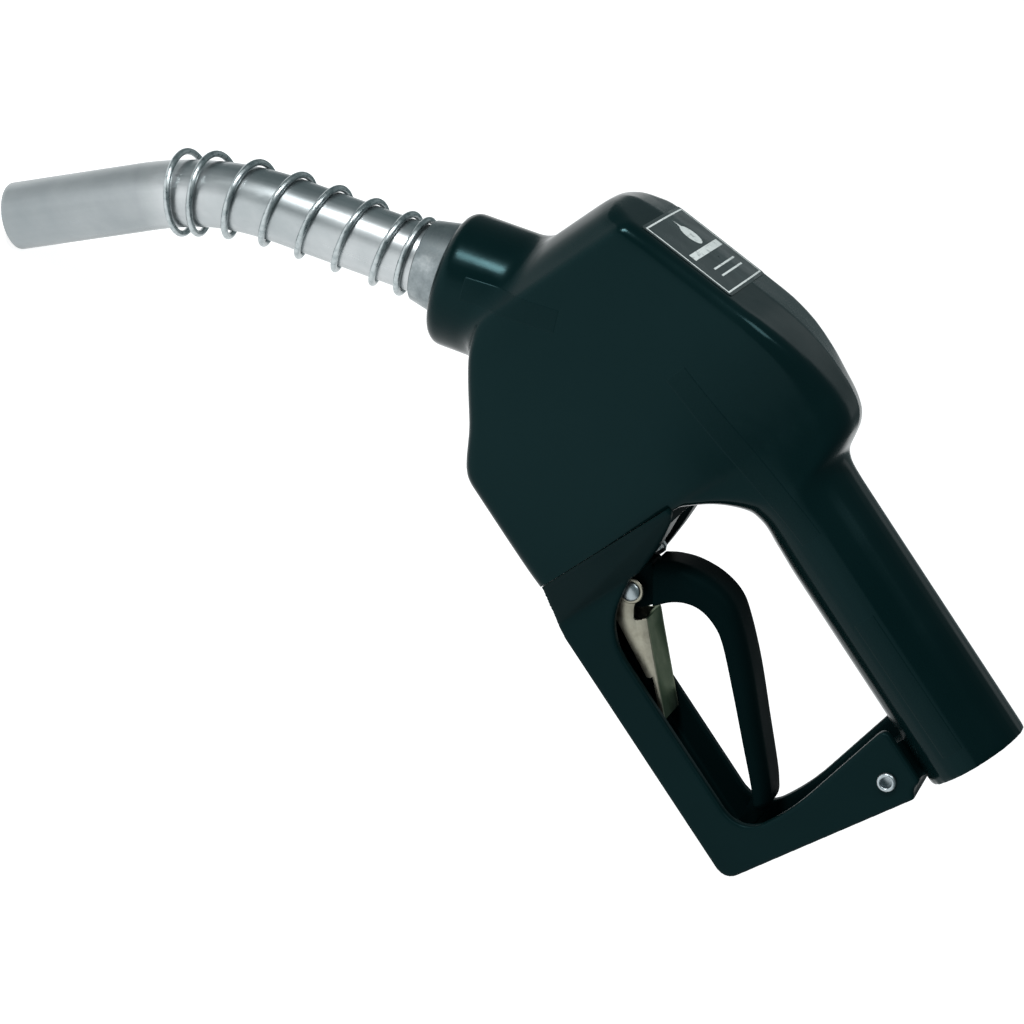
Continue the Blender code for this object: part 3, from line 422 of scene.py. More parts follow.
def body_form(name, inset=0.0, rear=0.0, front=0.0):
    """The handle and body's outside as one solid, its walls moved in by the inset and its nose by front."""
    rings = [section(x, monotone(HANDLE_STATIONS, min(max(x, 0.0), 129.1)), inset)
             for x in [rear] + list(np.arange(3.0, 84.0, 9.0)) + list(np.arange(84.0, 129.0, 1.5))]
    first = BODY_STATIONS[0][0]
    for x in [first, 130.2, 131.1] + list(np.arange(133.0, 214.0, 3.0)) + list(np.arange(214.0, 227.9, 0.7)):
        rings.append(section(x - front * max(0.0, (x - 200.0) / 27.8), monotone(BODY_STATIONS, x), inset))
    return loft(name, rings)


def seam_block():
    """The body's lower rear stretch carried on behind the seam, so that the seam cuts through a full skin."""
    ring = section(0.0, monotone(BODY_STATIONS, BODY_STATIONS[0][0]), 0.0)
    low = [(y, min(z, -41.0)) for _, y, z in ring]
    return loft("seam_block", [[(x, y, z) for y, z in low] for x in (SEAM_X - 9.0, SEAM_X + 3.0)])


def collar_form(name, inset, front, back=-50.0, edge=4.5):
    radius = COLLAR_RADIUS - inset
    edge = max(edge - inset, 1.0)
    profile = [(0.0, back), (radius - 3.0, back), (radius, back + 6.0)]
    for k in range(9):
        angle = math.radians(90 * k / 8)
        profile.append((radius - edge + edge * math.cos(angle), front - edge + edge * math.sin(angle)))
    profile.append((0.0, front))
    return turned(name, profile, on_spout(0.0, -COLLAR_DROP), direction(SPOUT_PITCH), 96)


def along_x(name, start, end, z, radius):
    return cylinder(name, (start, 0, z), (end, 0, z), radius)


def along_spout(name, start, end, radius):
    return cylinder(name, on_spout(start), on_spout(end), radius, 80)


def guard_screw_way(side):
    return cylinder("screw_way", (SEAM_X - 9, side * GUARD_SCREWS[0], GUARD_SCREWS[1]),
                    (SEAM_X + 14, side * GUARD_SCREWS[0], GUARD_SCREWS[1]), 1.9)


def rivet_way(radius):
    return cylinder("rivet_hole", (RIVET[0], -20, RIVET[1]), (RIVET[0], 20, RIVET[1]), radius)


def pin_way():
    return cylinder("pin_hole", (PIVOT[0], -14, PIVOT[1]), (PIVOT[0], 14, PIVOT[1]), PIN_HOLE)


# ---------------------------------------------------------------- cover and casting
def make_cover():
    """The dipped vinyl cover: its collar melts into the body, and a sleeve of it wraps the rear lug."""
    cover = body_form("cover_skin")
    join(cover, collar_form("collar", 0.0, COLLAR_FRONT), seam_block())
    nose = beyond(fill_corners(fuse(copy_of(cover, "nose"), 1.0, 2), 5.5, 1.0), 205.0)
    join(cover, nose)
    fuse(cover, 0.9, 5)
    inside = body_form("inside", COVER_WALL, rear=-3.0, front=COVER_WALL)
    collar_inside = collar_form("collar_inside", COVER_WALL, COLLAR_FRONT - COVER_WALL)
    cut(cover,
        box("seam", (100.0, -40.0, -100.0), (SEAM_X, 40.0, -37.9)),
        inside, collar_inside,
        along_spout("mouth", -12.0, 4.0, 17.4),
        box("window", (SEAM_X - 4, -21.5, -86.5), (SEAM_X + 6, 21.5, -41.0)))
    combine(cover, "UNION", box("lug_skin", (4.3, -6.5, -34.5), (18.5, 6.5, -16.4)))
    cut(cover,
        box("lug_room", (4.75, -6.05, -34.05), (18.05, 6.05, -10.0)),
        rivet_way(RIVET_HOLE))
    return shade(cover, 40)


def make_casting():
    """The casting inside the cover: its machined rear end, lug and the pockets of the two stems."""
    casting = body_form("casting_skin", CASTING_INSET, rear=1.2, front=CASTING_INSET)
    combine(casting, "UNION", box("lug", (4.8, -6.0, -34.0), (18.0, 6.0, -12.0)))
    cut(casting,
        along_x("socket", -2, 16, 0, 13.2),
        along_x("bore", -2, 150, 0, 10.5),
        along_x("gland_counterbore", SEAM_X - 4, 135.9, STEM_Z, 6.6),
        along_x("gland_pocket", SEAM_X - 4, 142, STEM_Z, 5.3),
        along_x("latch_pocket", SEAM_X - 4, 143, PIVOT[1], 6.3),
        along_x("latch_bore", 142, 165, PIVOT[1], 4.3),
        along_x("stem_bore", 141, 166, STEM_Z, 3.4),
        along_spout("nose", -36.0, 30.0, 17.6),
        rivet_way(RIVET_HOLE))
    cut(casting, guard_screw_way(-1), guard_screw_way(1))
    return shade(casting, 30)


def make_inlet_thread():
    """The pipe thread of the hose inlet, as the ridges that show in the socket."""
    pitch = 1.8
    turns = 7
    profile = [(13.25, 2.0)]
    for k in range(turns):
        profile += [(13.1, 2.0 + pitch * k), (12.35, 2.6 + pitch * k), (12.35, 2.9 + pitch * k)]
    profile += [(13.1, 2.0 + pitch * turns), (13.25, 2.0 + pitch * turns)]
    return shade(turned("inlet_thread", profile, (0, 0, 0), (1, 0, 0), 96), 25)


# ---------------------------------------------------------------- label
def roof_point(x, y):
    """Height of the roof under a point of the label."""
    values = monotone(BODY_STATIONS, x)
    half, edge, crown = values[7], values[8], values[-1]
    return edge + crown * (1 - abs(y) / half)


def make_label():
    low, high = LABEL_SPAN
    corner = 1.2
    bm = bmesh.new()
    grid = bmesh.ops.create_grid(bm, x_segments=36, y_segments=46, size=0.5)
    for vertex in grid["verts"]:
        x = (low + high) / 2 + vertex.co.x * (high - low)
        y = vertex.co.y * 2 * LABEL_HALF
        reach_x = (high - low) / 2 - corner
        reach_y = LABEL_HALF - corner
        dx, dy = x - (low + high) / 2, y
        if abs(dx) > reach_x and abs(dy) > reach_y:
            over = Vector((abs(dx) - reach_x, abs(dy) - reach_y))
            longest = max(over.x, over.y)
            over = over.normalized() * longest
            dx = math.copysign(reach_x + over.x, dx)
            dy = math.copysign(reach_y + over.y, dy)
        x, y = (low + high) / 2 + dx, dy
        # the film bridges the ridge in a soft curve
        height = roof_point(x, y) - 0.35 * math.exp(-(y / 3.0) ** 2)
        vertex.co = Vector((x, y, height + 0.32)) * MM
    mesh = bpy.data.meshes.new("label_film")
    bm.to_mesh(mesh)
    bm.free()
    label = bpy.data.objects.new("label_film", mesh)
    bpy.context.scene.collection.objects.link(label)
    thick = label.modifiers.new("film", "SOLIDIFY")
    thick.thickness = 0.25 * MM
    thick.offset = -1.0
    apply_modifiers(label)
    return shade(label, 40)


# ---------------------------------------------------------------- guard
def make_guard():
    """The moulded guard: a channel with its cheeks flared to the seam, edges softened by the mould."""
    outside = [(SEAM_X - 5.5, -93.5, 4), (114.0, GUARD_BOTTOM, 6), (7.6, GUARD_BOTTOM, 5), (0.3, -22.4, 0.3),
               (2.0, -22.0, 0.8), (3.4, -20.8, 1.0), (4.3, -18.6, 0.8), (4.5, -17.6, 0), (26.4, -17.6, 3)]
    inside = [(17.6, -63.0, 10), (19.0, -83.8, 13), (104.0, -83.8, 16), (117.5, -61.5, 10),
              (125.2, -42.0, 0), (SEAM_X - 3.2, -38.0, 0)]
    guard = plate("guard_skin", rounded(outside + inside), -GUARD_HALF, GUARD_HALF)
    bevel(guard, 1.0, 2, 50)
    rim = (SEAM_X + 6.0, 30.3)
    flare = [(rim[0], side * rim[1], z) for side in (-1, 1) for z in (-35.0, -87.5)]
    flare += [(x, side * y, z) for side in (-1, 1)
              for x, y, z in ((127.4, 27.6, -34.8), (124.6, 25.0, -37.8), (122.0, 22.4, -43.0),
                              (119.4, 19.6, -49.0), (117.0, 17.4, -55.6), (115.0, GUARD_HALF, -61.8),
                              (127.6, 23.5, -91.0), (121.0, 19.5, -94.0), (114.6, GUARD_HALF, -97.2))]
    bm = bmesh.new()
    for point in flare:
        bm.verts.new(Vector(point) * MM)
    bmesh.ops.convex_hull(bm, input=bm.verts)
    mesh = bpy.data.meshes.new("flare")
    bm.to_mesh(mesh)
    bm.free()
    wings = bpy.data.objects.new("flare", mesh)
    bpy.context.scene.collection.objects.link(wings)
    web = [(SEAM_X - 5.0, -60.0), (SEAM_X - 5.0, -89.0), (114.0, GUARD_BOTTOM + 5), (12.5, GUARD_BOTTOM + 5),
           (7.0, -45.0), (3.8, -36.0), (3.8, 10.0), (SEAM_X - 5.0, 10.0)]
    combine(guard, "UNION", wings)
    cut(guard, plate("channel", web, -GUARD_CHANNEL, GUARD_CHANNEL))
    fuse(guard, 0.62, 5)
    cut(guard, box("seam", (SEAM_X - 0.25, -40, -110), (SEAM_X + 10, 40, 0)),
        box("handle_room", (118.0, -25.2, -38.0), (SEAM_X + 1.0, 25.2, 0.0)))
    combine(guard, "UNION", box("spigot", (SEAM_X - 2.0, -20.5, -85.5), (SEAM_X + 2.0, 20.5, -42.0)))
    cut(guard, box("slot", (SEAM_X - 8.0, -8.0, -77.5), (SEAM_X + 6.0, 8.0, -48.5)),
        rivet_way(3.2),
        guard_screw_way(-1), guard_screw_way(1))
    return shade(guard, 40)


# ---------------------------------------------------------------- lever
LEVER_OUTER = [(115.2, -57.2), (111.8, -52.2), (106.5, -47.2), (98.5, -42.9), (89.8, -41.2), (81.5, -42.9),
               (66.0, -48.9), (48.0, -57.4), (30.0, -66.0), (23.2, -70.0)]
LEVER_INNER = [(102.2, -66.0), (100.4, -60.0), (97.4, -55.4), (93.0, -52.2), (86.8, -50.9), (79.0, -52.0),
               (62.6, -58.6), (45.0, -66.2), (31.6, -72.0), (24.6, -75.6)]


def make_lever():
    """The lever: a hand-side that is rounded over, flat flanks, and a narrow hub on the pin."""
    half = LEVER_HALF
    outer = through([(x, 0, z) for x, z in LEVER_OUTER], 8)
    inner = through([(x, 0, z) for x, z in LEVER_INNER], 8)
    rings = []
    for i, (top, bottom) in enumerate(zip(outer, inner)):
        depth = (top - bottom).length
        up = (top - bottom).normalized()
        shoulder = min(5.5, depth * 0.6)
        ring = []
        for k in range(9):
            angle = math.radians(90 * k / 8)
            ring.append((half - 5.5 + 5.5 * math.cos(angle), depth - shoulder + shoulder * math.sin(angle)))
        ring += [(-y, h) for y, h in ring[::-1]]
        for side in (-1, 1):
            edge = [(half - 1.0 + 1.0 * math.sin(math.radians(a)), 1.0 - math.cos(math.radians(a)))
                    for a in (0, 30, 60, 90)]
            ring += [(-y, h) for y, h in edge[::-1]] if side < 0 else edge
        rings.append([bottom + up * h + Vector((0, y, 0)) for y, h in ring])
    # the tail closes over in a blunt round end
    last, before = rings[-1], rings[-2]
    centre = sum(last, Vector()) / len(last)
    onward = (centre - sum(before, Vector()) / len(before)).normalized()
    for reach, scale in ((1.2, 0.93), (2.1, 0.78), (2.6, 0.5)):
        rings.append([centre + (p - centre) * scale + onward * reach for p in last])
    lever = loft("lever_skin", rings)
    hub = [(115.6, -59.0, 2), (104.0, -60.0, 2), (102.0, -66.0, 2), (104.6, -74.6, 5), (114.0, -76.6, 5),
           (117.0, -69.0, 3), (116.4, -61.0, 2)]
    hub_piece = bevel(plate("hub", rounded(hub, 6), -HUB_HALF, HUB_HALF), 0.6, 2, 40)
    tail = [(31.0, -70.0, 3), (24.0, -69.5, 3), (18.6, -77.0, 4), (16.6, -87.2, 2.5), (20.4, -88.6, 2.5),
            (24.6, -80.0, 4)]
    tail_piece = bevel(plate("tail", rounded(tail), -TAIL_HALF, TAIL_HALF), 1.2, 3, 40)
    join(lever, hub_piece, tail_piece)
    fuse(lever, 0.45, 3)
    cut(lever,
        box("tongue_slot", (PIVOT[0] - 8.0, -4.4, -80.0), (PIVOT[0] + 12.0, 4.4, -63.4)),
        pin_way())
    return shade(lever, 40)


# ---------------------------------------------------------------- clip, rivet and pin
def make_clip():
    half, sheet = CLIP_HALF, CLIP_SHEET
    x, z = PIVOT
    arm = rounded([(x + 4.6, z + 1.6, 2.5), (x - 1.6, z + 5.0, 2.5), (106.0, -72.0, 1.5), (101.6, -75.2, 1.0),
                   (99.4, -70.9, 0.5), (81.0, -79.6, 0.8), (81.6, -82.9, 1.2), (86.0, -82.4, 1.5),
                   (106.4, -80.2, 2.0), (113.6, -76.4, 3.0)], 6)
    near = plate("clip_skin", arm, half - sheet, half)
    far = plate("clip_far", arm, -half, sheet - half)
    web = rounded([(100.4, -72.3, 0.3), (99.8, -70.8, 0.3), (65.8, -86.2, 0.4), (66.5, -87.5, 0.4)], 3)
    combine(near, "UNION", far, plate("clip_web", web, 0.1 - half, half - 0.1))
    cut(near, pin_way())
    bevel(near, 0.22, 2, 40)
    eye = [(2.75, half), (2.75, half + 0.35), (3.1, half + 0.5), (4.3, half + 0.4), (4.6, half)]
    join(near, turned("eye", eye, (x, 0, z), (0, 1, 0), 48))
    return shade(near, 35)


def make_pin():
    dome = [(0, 11.55), (1.2, 11.5), (2.3, 11.25), (3.1, 10.85), (3.5, 10.4), (3.6, 9.95)]
    shank = [(2.5, 9.95), (2.5, -10.9), (2.0, -11.4), (0, -11.4)]
    return shade(turned("pin_skin", dome + shank, (PIVOT[0], 0, PIVOT[1]), (0, 1, 0), 48), 40)


def make_rivet():
    head = [(0.0, 13.6), (1.8, 13.6), (1.9, 16.5), (1.95, 17.1), (2.1, 17.4), (2.4, 17.55), (2.8, 17.5),
            (3.2, 17.2), (3.4, 16.7), (3.4, 16.1), (2.9, 16.0)]
    profile = head + [(r, -s) for r, s in head[::-1]]
    return shade(turned("rivet_skin", profile, (RIVET[0], 0, RIVET[1]), (0, 1, 0), 48), 40)


# ---------------------------------------------------------------- spout, ferrule and spring
def make_spout():
    """The spout tube, a little flat on the inside of its bend, with a softened end."""
    sides = 96
    bend_end = BEND_START + BEND_RADIUS * abs(SPOUT_BEND)
    stations = list(np.arange(-13.0, SPOUT_LENGTH - 0.5, 1.5))
    path = [(s, TUBE_RADIUS) for s in stations]
    path += [(SPOUT_LENGTH - 0.45, TUBE_RADIUS), (SPOUT_LENGTH - 0.12, TUBE_RADIUS - 0.14),
             (SPOUT_LENGTH, TUBE_RADIUS - 0.4), (SPOUT_LENGTH, TUBE_BORE + 0.3),
             (SPOUT_LENGTH - 0.3, TUBE_BORE)]
    path += [(s, TUBE_BORE) for s in stations[::-4]]
    rings, marks = [], []
    for station, radius in path:
        point, _, normal = spout_frame(station)
        dent = 0.7 * math.exp(-((station - (BEND_START + bend_end) / 2) / 18.0) ** 2)
        ring = []
        for k in range(sides):
            angle = 2 * math.pi * k / sides
            low = max(0.0, -math.sin(angle))
            squeeze = dent * (low ** 2)
            ring.append(point + normal * (radius - squeeze) * math.sin(angle)
                        + Vector((0, (radius + 0.25 * dent) * math.cos(angle), 0)))
            marks.append((station * MM, angle * radius * MM, radius * MM))
        rings.append(ring)
    tube = loft("spout_skin", rings, closed=True)
    note = tube.data.attributes.new("along", "FLOAT_VECTOR", "POINT")
    if len(tube.data.vertices) == len(marks):
        note.data.foreach_set("vector", [c for mark in marks for c in mark])
    return shade(tube, 50)


def make_ferrule():
    profile = [(12.6, 7.7), (14.3, 7.7), (14.65, 7.4), (16.4, -1.0), (16.9, -4.6), (17.0, -5.1), (16.6, -5.3),
               (15.2, -5.3), (15.2, -12.0), (12.6, -12.0), (12.6, 7.2)]
    return shade(turned("ferrule_skin", profile, SPOUT_BASE, direction(SPOUT_PITCH), 96), 30)


def coil_station(turn):
    stations = (9.3, 10.6, 17.0, 31.0, 45.2, 59.6, 74.6, 89.6, 99.6, 104.0)
    turn = min(max(turn + 1.0, 0.0), len(stations) - 1.001)
    low = int(turn)
    share = turn - low
    before, after = stations[max(low - 1, 0)], stations[min(low + 2, len(stations) - 1)]
    a, b = stations[low], stations[low + 1]
    return 0.5 * ((2 * a) + (b - before) * share + (2 * before - 5 * a + 4 * b - after) * share ** 2
                  + (3 * a - before - 3 * b + after) * share ** 3)


def make_spring():
    radius = TUBE_RADIUS + 0.3 + WIRE_RADIUS
    per_turn = 48
    points = []
    for k in range(int(-0.4 * per_turn), int(7.6 * per_turn) + 1):
        turn = k / per_turn
        angle = math.pi / 2 - 2 * math.pi * turn
        station = coil_station(turn)
        loose = 0.9 * min(max((station - 70.0) / 30.0, 0.0), 1.0)
        point, _, normal = spout_frame(station)
        points.append(point + normal * ((radius + loose) * math.sin(angle) + loose * 0.6)
                      + Vector((0, (radius + loose) * math.cos(angle), 0)))
    return shade(wire("spring_skin", points, WIRE_RADIUS), 60)


# ---------------------------------------------------------------- materials
class Look:
    """A node material, with short ways to add nodes to it."""

    def __init__(self, name, colour, roughness, metallic=0.0, **more):
        self.material = bpy.data.materials.new(name)
        self.material.use_nodes = True
        self.tree = self.material.node_tree
        self.shader = self.tree.nodes["Principled BSDF"]
        values = {"Base Color": (*colour, 1.0), "Roughness": roughness, "Metallic": metallic, **more}
        for key, value in values.items():
            self.shader.inputs[key].default_value = value
        self.place = self.add("TexCoord", {}, "Object")

    def add(self, kind, inputs, output=0, **settings):
        node = self.tree.nodes.new("ShaderNode" + kind)
        for key, value in settings.items():
            setattr(node, key, value)
        for key, value in inputs.items():
            if isinstance(value, bpy.types.NodeSocket):
                self.tree.links.new(value, node.inputs[key])
            else:
                node.inputs[key].default_value = value
        return node.outputs[output]

    def noise(self, scale, detail=3.0, stretch=(1, 1, 1), where=None, roughness=0.5):
        vector = self.add("Mapping", {"Vector": where or self.place, "Scale": stretch})
        return self.add("TexNoise", {"Vector": vector, "Scale": scale, "Detail": detail,
                                     "Roughness": roughness})

    def cells(self, scale, where=None, **settings):
        return self.add("TexVoronoi", {"Vector": where or self.place, "Scale": scale}, **settings)

    def span(self, value, low, high, to_low=0.0, to_high=1.0):
        return self.add("MapRange", {"Value": value, "From Min": low, "From Max": high,
                                     "To Min": to_low, "To Max": to_high})

    def math(self, operation, *values):
        return self.add("Math", {i: v for i, v in enumerate(values)}, operation=operation)

    def ramp(self, value, *stops):
        node = self.tree.nodes.new("ShaderNodeValToRGB")
        self.tree.links.new(value, node.inputs[0])
        elements = node.color_ramp.elements
        while len(elements) < len(stops):
            elements.new(0.5)
        for element, (position, colour) in zip(elements, stops):
            element.position = position
            element.color = (*colour, 1.0)
        return node.outputs[0]

    def mix(self, share, first, second):
        """Mix two colours, each a socket or a triple."""
        node = self.tree.nodes.new("ShaderNodeMix")
        node.data_type = "RGBA"
        for index, value in ((0, share), (6, first), (7, second)):
            if isinstance(value, bpy.types.NodeSocket):
                self.tree.links.new(value, node.inputs[index])
            elif index:
                node.inputs[index].default_value = (*value, 1.0)
            else:
                node.inputs[index].default_value = value
        return node.outputs[2]

    def bump(self, *layers):
        """Bump layers of (height, strength, distance in millimetres), each over the one before."""
        normal = None
        for height, strength, distance in layers:
            inputs = {"Height": height, "Strength": strength, "Distance": distance * MM}
            if normal:
                inputs["Normal"] = normal
            normal = self.add("Bump", inputs)
        self.to("Normal", normal)

    def to(self, key, value):
        self.tree.links.new(value, self.shader.inputs[key])

    def box_mask(self, centre, angle, half_length, half_width, soft=0.3):
        """1 inside a strip in the XZ plane: centre and halves in millimetres, angle from +X."""
        turned_by = self.add("Mapping", {"Vector": self.place, "Rotation": (0.0, angle, 0.0)})
        c, s = math.cos(angle), math.sin(angle)
        # Mapping turns by the right-hand rule about +Y, which takes +Z towards +X
        centre_x = centre[0] * c + centre[1] * s
        centre_z = -centre[0] * s + centre[1] * c
        parts = self.tree.nodes.new("ShaderNodeSeparateXYZ")
        self.tree.links.new(turned_by, parts.inputs[0])
        along = self.math("ABSOLUTE", self.math("SUBTRACT", parts.outputs[0], centre_x * MM))
        across = self.math("ABSOLUTE", self.math("SUBTRACT", parts.outputs[2], centre_z * MM))
        inside_x = self.span(along, (half_length - soft) * MM, half_length * MM, 1.0, 0.0)
        inside_z = self.span(across, (half_width - soft) * MM, half_width * MM, 1.0, 0.0)
        return self.math("MULTIPLY", inside_x, inside_z)


def strip(look, start, end, half_width):
    """Mask of a strip on the near flank that runs from one point of the XZ plane to another."""
    dx, dz = end[0] - start[0], end[1] - start[1]
    angle = math.atan2(dz, dx)
    centre = ((start[0] + end[0]) / 2, (start[1] + end[1]) / 2)
    return look.box_mask(centre, angle, math.hypot(dx, dz) / 2, half_width)


def specks(look, scale, size, share):
    """Small scattered specks: cell centres, kept where a random number of the cell is low enough."""
    distance = look.cells(scale)
    chance = look.add("TexVoronoi", {"Vector": look.place, "Scale": scale}, 1)
    parts = look.tree.nodes.new("ShaderNodeSeparateColor")
    look.tree.links.new(chance, parts.inputs[0])
    near = look.math("LESS_THAN", distance, size)
    kept = look.math("LESS_THAN", parts.outputs[0], share)
    return look.math("MULTIPLY", near, kept)


TINT = (0.45, 0.92, 1.0, 1.0)       # the black plastics reflect a little green


def vinyl():
    """Glossy dipped vinyl, with the flank's raised strips as a duller, grainier band."""
    look = Look("cover_vinyl", (0.001, 0.007, 0.008), 0.22, IOR=1.45,
                **{"Specular IOR Level": 0.13, "Specular Tint": TINT})
    cloud = look.noise(9.0, 3.0)
    tone = look.ramp(cloud, (0.3, (0.0007, 0.0056, 0.0060)), (0.7, (0.0020, 0.0084, 0.0090)))
    chips = specks(look, 62.0, 0.030, 0.06)
    look.to("Base Color", look.mix(chips, tone, (0.32, 0.36, 0.34)))
    marks = look.math("MAXIMUM", strip(look, (229.6, -55.0), (202.3, -31.4), 4.0),
                      look.math("MAXIMUM", strip(look, (166.2, -6.2), (94.2, -1.6), 4.0),
                                strip(look, (62.1, -1.9), (8.1, -1.3), 4.0)))
    patchy = look.span(look.noise(34.0, 4.0), 0.35, 0.7, 0.15, 0.27)
    look.to("Roughness", look.math("ADD", patchy, look.math("MULTIPLY", marks, 0.22)))
    grain = look.noise(1500.0, 2.0)
    strip_grain = look.math("MULTIPLY", marks, look.span(grain, 0.3, 0.7, 0.8, 1.0))
    look.bump((look.noise(60.0, 2.0), 0.22, 0.5), (look.noise(420.0, 2.0), 0.05, 0.10),
              (strip_grain, 0.6, 0.14))
    return look.material


def nylon(name, base, ior):
    look = Look(name, base, 0.42, IOR=ior, **{"Specular IOR Level": 0.11, "Specular Tint": TINT})
    dark, light = (tuple(c * share for c in base) for share in (0.85, 1.15))
    tone = look.ramp(look.noise(14.0, 3.0), (0.3, dark), (0.7, light))
    jitter = look.add("TexNoise", {"Vector": look.place, "Scale": 700.0}, 1)
    jitter = look.add("VectorMath", {0: jitter, "Scale": 0.0012}, operation="SCALE")
    torn = look.add("VectorMath", {0: look.place, 1: jitter}, operation="ADD")
    chance = look.add("TexVoronoi", {"Vector": torn, "Scale": 58.0}, 1)
    parts = look.tree.nodes.new("ShaderNodeSeparateColor")
    look.tree.links.new(chance, parts.inputs[0])
    chips = look.math("MULTIPLY", look.math("LESS_THAN", look.cells(58.0, torn), 0.065),
                      look.math("LESS_THAN", parts.outputs[0], 0.14))
    look.to("Base Color", look.mix(chips, tone, (0.30, 0.36, 0.34)))
    look.to("Roughness", look.span(look.noise(40.0, 4.0), 0.3, 0.7, 0.36, 0.50))
    look.bump((look.noise(1400.0, 3.0), 0.22, 0.05), (chips, -0.4, 0.08))
    return look.material


def tube_metal():
    look = Look("spout_metal", (0.70, 0.72, 0.73), 0.3, 1.0)
    along = look.add("Attribute", {}, "Vector", attribute_name="along")
    streaks = look.noise(260.0, 4.0, (0.05, 1.0, 0.2), along, 0.6)
    clouds = look.noise(26.0, 5.0, (0.6, 1.0, 1.0), None, 0.62)
    stains = look.noise(90.0, 5.0, (0.35, 1.0, 1.0), along, 0.7)
    body = look.ramp(clouds, (0.32, (0.32, 0.35, 0.36)), (0.5, (0.40, 0.425, 0.435)),
                     (0.68, (0.50, 0.52, 0.53)))
    marks = look.span(stains, 0.62, 0.74)
    parts = look.tree.nodes.new("ShaderNodeSeparateXYZ")
    look.tree.links.new(along, parts.inputs[0])
    # painted shade: the spout past the spring is mixed towards a dark grey, standing in for the duller
    # reflection at its end
    tip_painted_shade = look.math("MULTIPLY", look.span(parts.outputs[0], 0.104, 0.114), 0.55)
    body = look.mix(tip_painted_shade, body, (0.17, 0.195, 0.205))
    look.to("Base Color", look.mix(look.math("MULTIPLY", marks, 0.4), body, (0.30, 0.33, 0.34)))
    rough = look.math("ADD", look.span(streaks, 0.3, 0.7, 0.26, 0.40), look.math("MULTIPLY", marks, 0.15))
    look.to("Roughness", rough)
    look.bump((streaks, 0.10, 0.05), (clouds, 0.25, 0.35), (stains, 0.08, 0.1))
    return look.material


def ferrule_metal():
    look = Look("ferrule_metal", (0.33, 0.35, 0.36), 0.36, 1.0)
    mottled = look.noise(120.0, 6.0, roughness=0.7)
    look.to("Base Color", look.ramp(mottled, (0.3, (0.13, 0.155, 0.165)), (0.52, (0.22, 0.25, 0.26)),
                                    (0.75, (0.36, 0.39, 0.40))))
    look.to("Roughness", look.span(mottled, 0.3, 0.7, 0.44, 0.28))
    look.bump((mottled, 0.14, 0.12), (look.noise(1500.0, 2.0), 0.12, 0.03))
    return look.material


def wire_metal():
    look = Look("wire_metal", (0.55, 0.58, 0.59), 0.2, 1.0)
    drawn = look.noise(500.0, 4.0, (1.0, 1.0, 1.0))
    look.to("Base Color", look.ramp(drawn, (0.3, (0.26, 0.30, 0.31)), (0.6, (0.42, 0.46, 0.47))))
    look.to("Roughness", look.span(drawn, 0.3, 0.7, 0.24, 0.38))
    look.bump((drawn, 0.08, 0.05))
    return look.material


def plated(name, low, high, rough=(0.22, 0.36), scale=240.0, bump=0.08):
    look = Look(name, high, rough[0], 1.0)
    fine = look.noise(scale, 5.0, roughness=0.65)
    broad = look.noise(scale / 6, 3.0)
    mixed = look.math("ADD", look.math("MULTIPLY", fine, 0.4), look.math("MULTIPLY", broad, 0.6))
    look.to("Base Color", look.ramp(mixed, (0.34, low), (0.62, high)))
    look.to("Roughness", look.span(fine, 0.3, 0.7, *rough))
    look.bump((fine, bump, 0.06))
    return look.material


def clip_metal():
    """Worn nickel on the cheeks, and painted shade on the web between them, as a darker, greener colour."""
    look = Look("clip_nickel", (0.32, 0.31, 0.25), 0.36, 1.0, **{"Specular Tint": (0.55, 0.62, 0.50, 1.0)})
    fine = look.noise(180.0, 5.0, roughness=0.65)
    parts = look.tree.nodes.new("ShaderNodeSeparateXYZ")
    look.tree.links.new(look.place, parts.inputs[0])
    web = look.span(look.math("ABSOLUTE", parts.outputs[1]), 7.9 * MM, 8.5 * MM, 1.0, 0.0)
    cheeks = look.ramp(fine, (0.34, (0.21, 0.20, 0.16)), (0.62, (0.33, 0.32, 0.26)))
    # painted shade: the web between the cheeks gets a darker, greener colour than the cheeks
    web_painted_shade = look.ramp(fine, (0.34, (0.045, 0.06, 0.048)), (0.62, (0.09, 0.11, 0.09)))
    look.to("Base Color", look.mix(web, cheeks, web_painted_shade))
    look.to("Roughness", look.span(fine, 0.3, 0.7, 0.30, 0.44))
    look.bump((fine, 0.08, 0.06))
    return look.material


def cast_metal():
    look = Look("cast_metal", (0.50, 0.52, 0.53), 0.5, 1.0)
    sand = look.noise(900.0, 4.0, roughness=0.7)
    broad = look.noise(60.0, 5.0)
    look.to("Base Color", look.ramp(broad, (0.3, (0.36, 0.38, 0.39)), (0.7, (0.58, 0.60, 0.61))))
    look.to("Roughness", look.span(sand, 0.3, 0.7, 0.42, 0.62))
    look.bump((sand, 0.35, 0.08))
    return look.material


def rubber():
    look = Look("seal_rubber", (0.02, 0.02, 0.02), 0.75)
    speckle = look.noise(700.0, 4.0)
    look.to("Base Color", look.ramp(speckle, (0.3, (0.014, 0.014, 0.014)), (0.7, (0.032, 0.032, 0.031))))
    look.to("Roughness", look.span(speckle, 0.3, 0.7, 0.65, 0.85))
    look.bump((speckle, 0.2, 0.06))
    return look.material


def between(look, value, low, high):
    """1 where the value lies between two limits, in millimetres."""
    above = look.math("GREATER_THAN", value, low * MM)
    return look.math("MULTIPLY", above, look.math("LESS_THAN", value, high * MM))


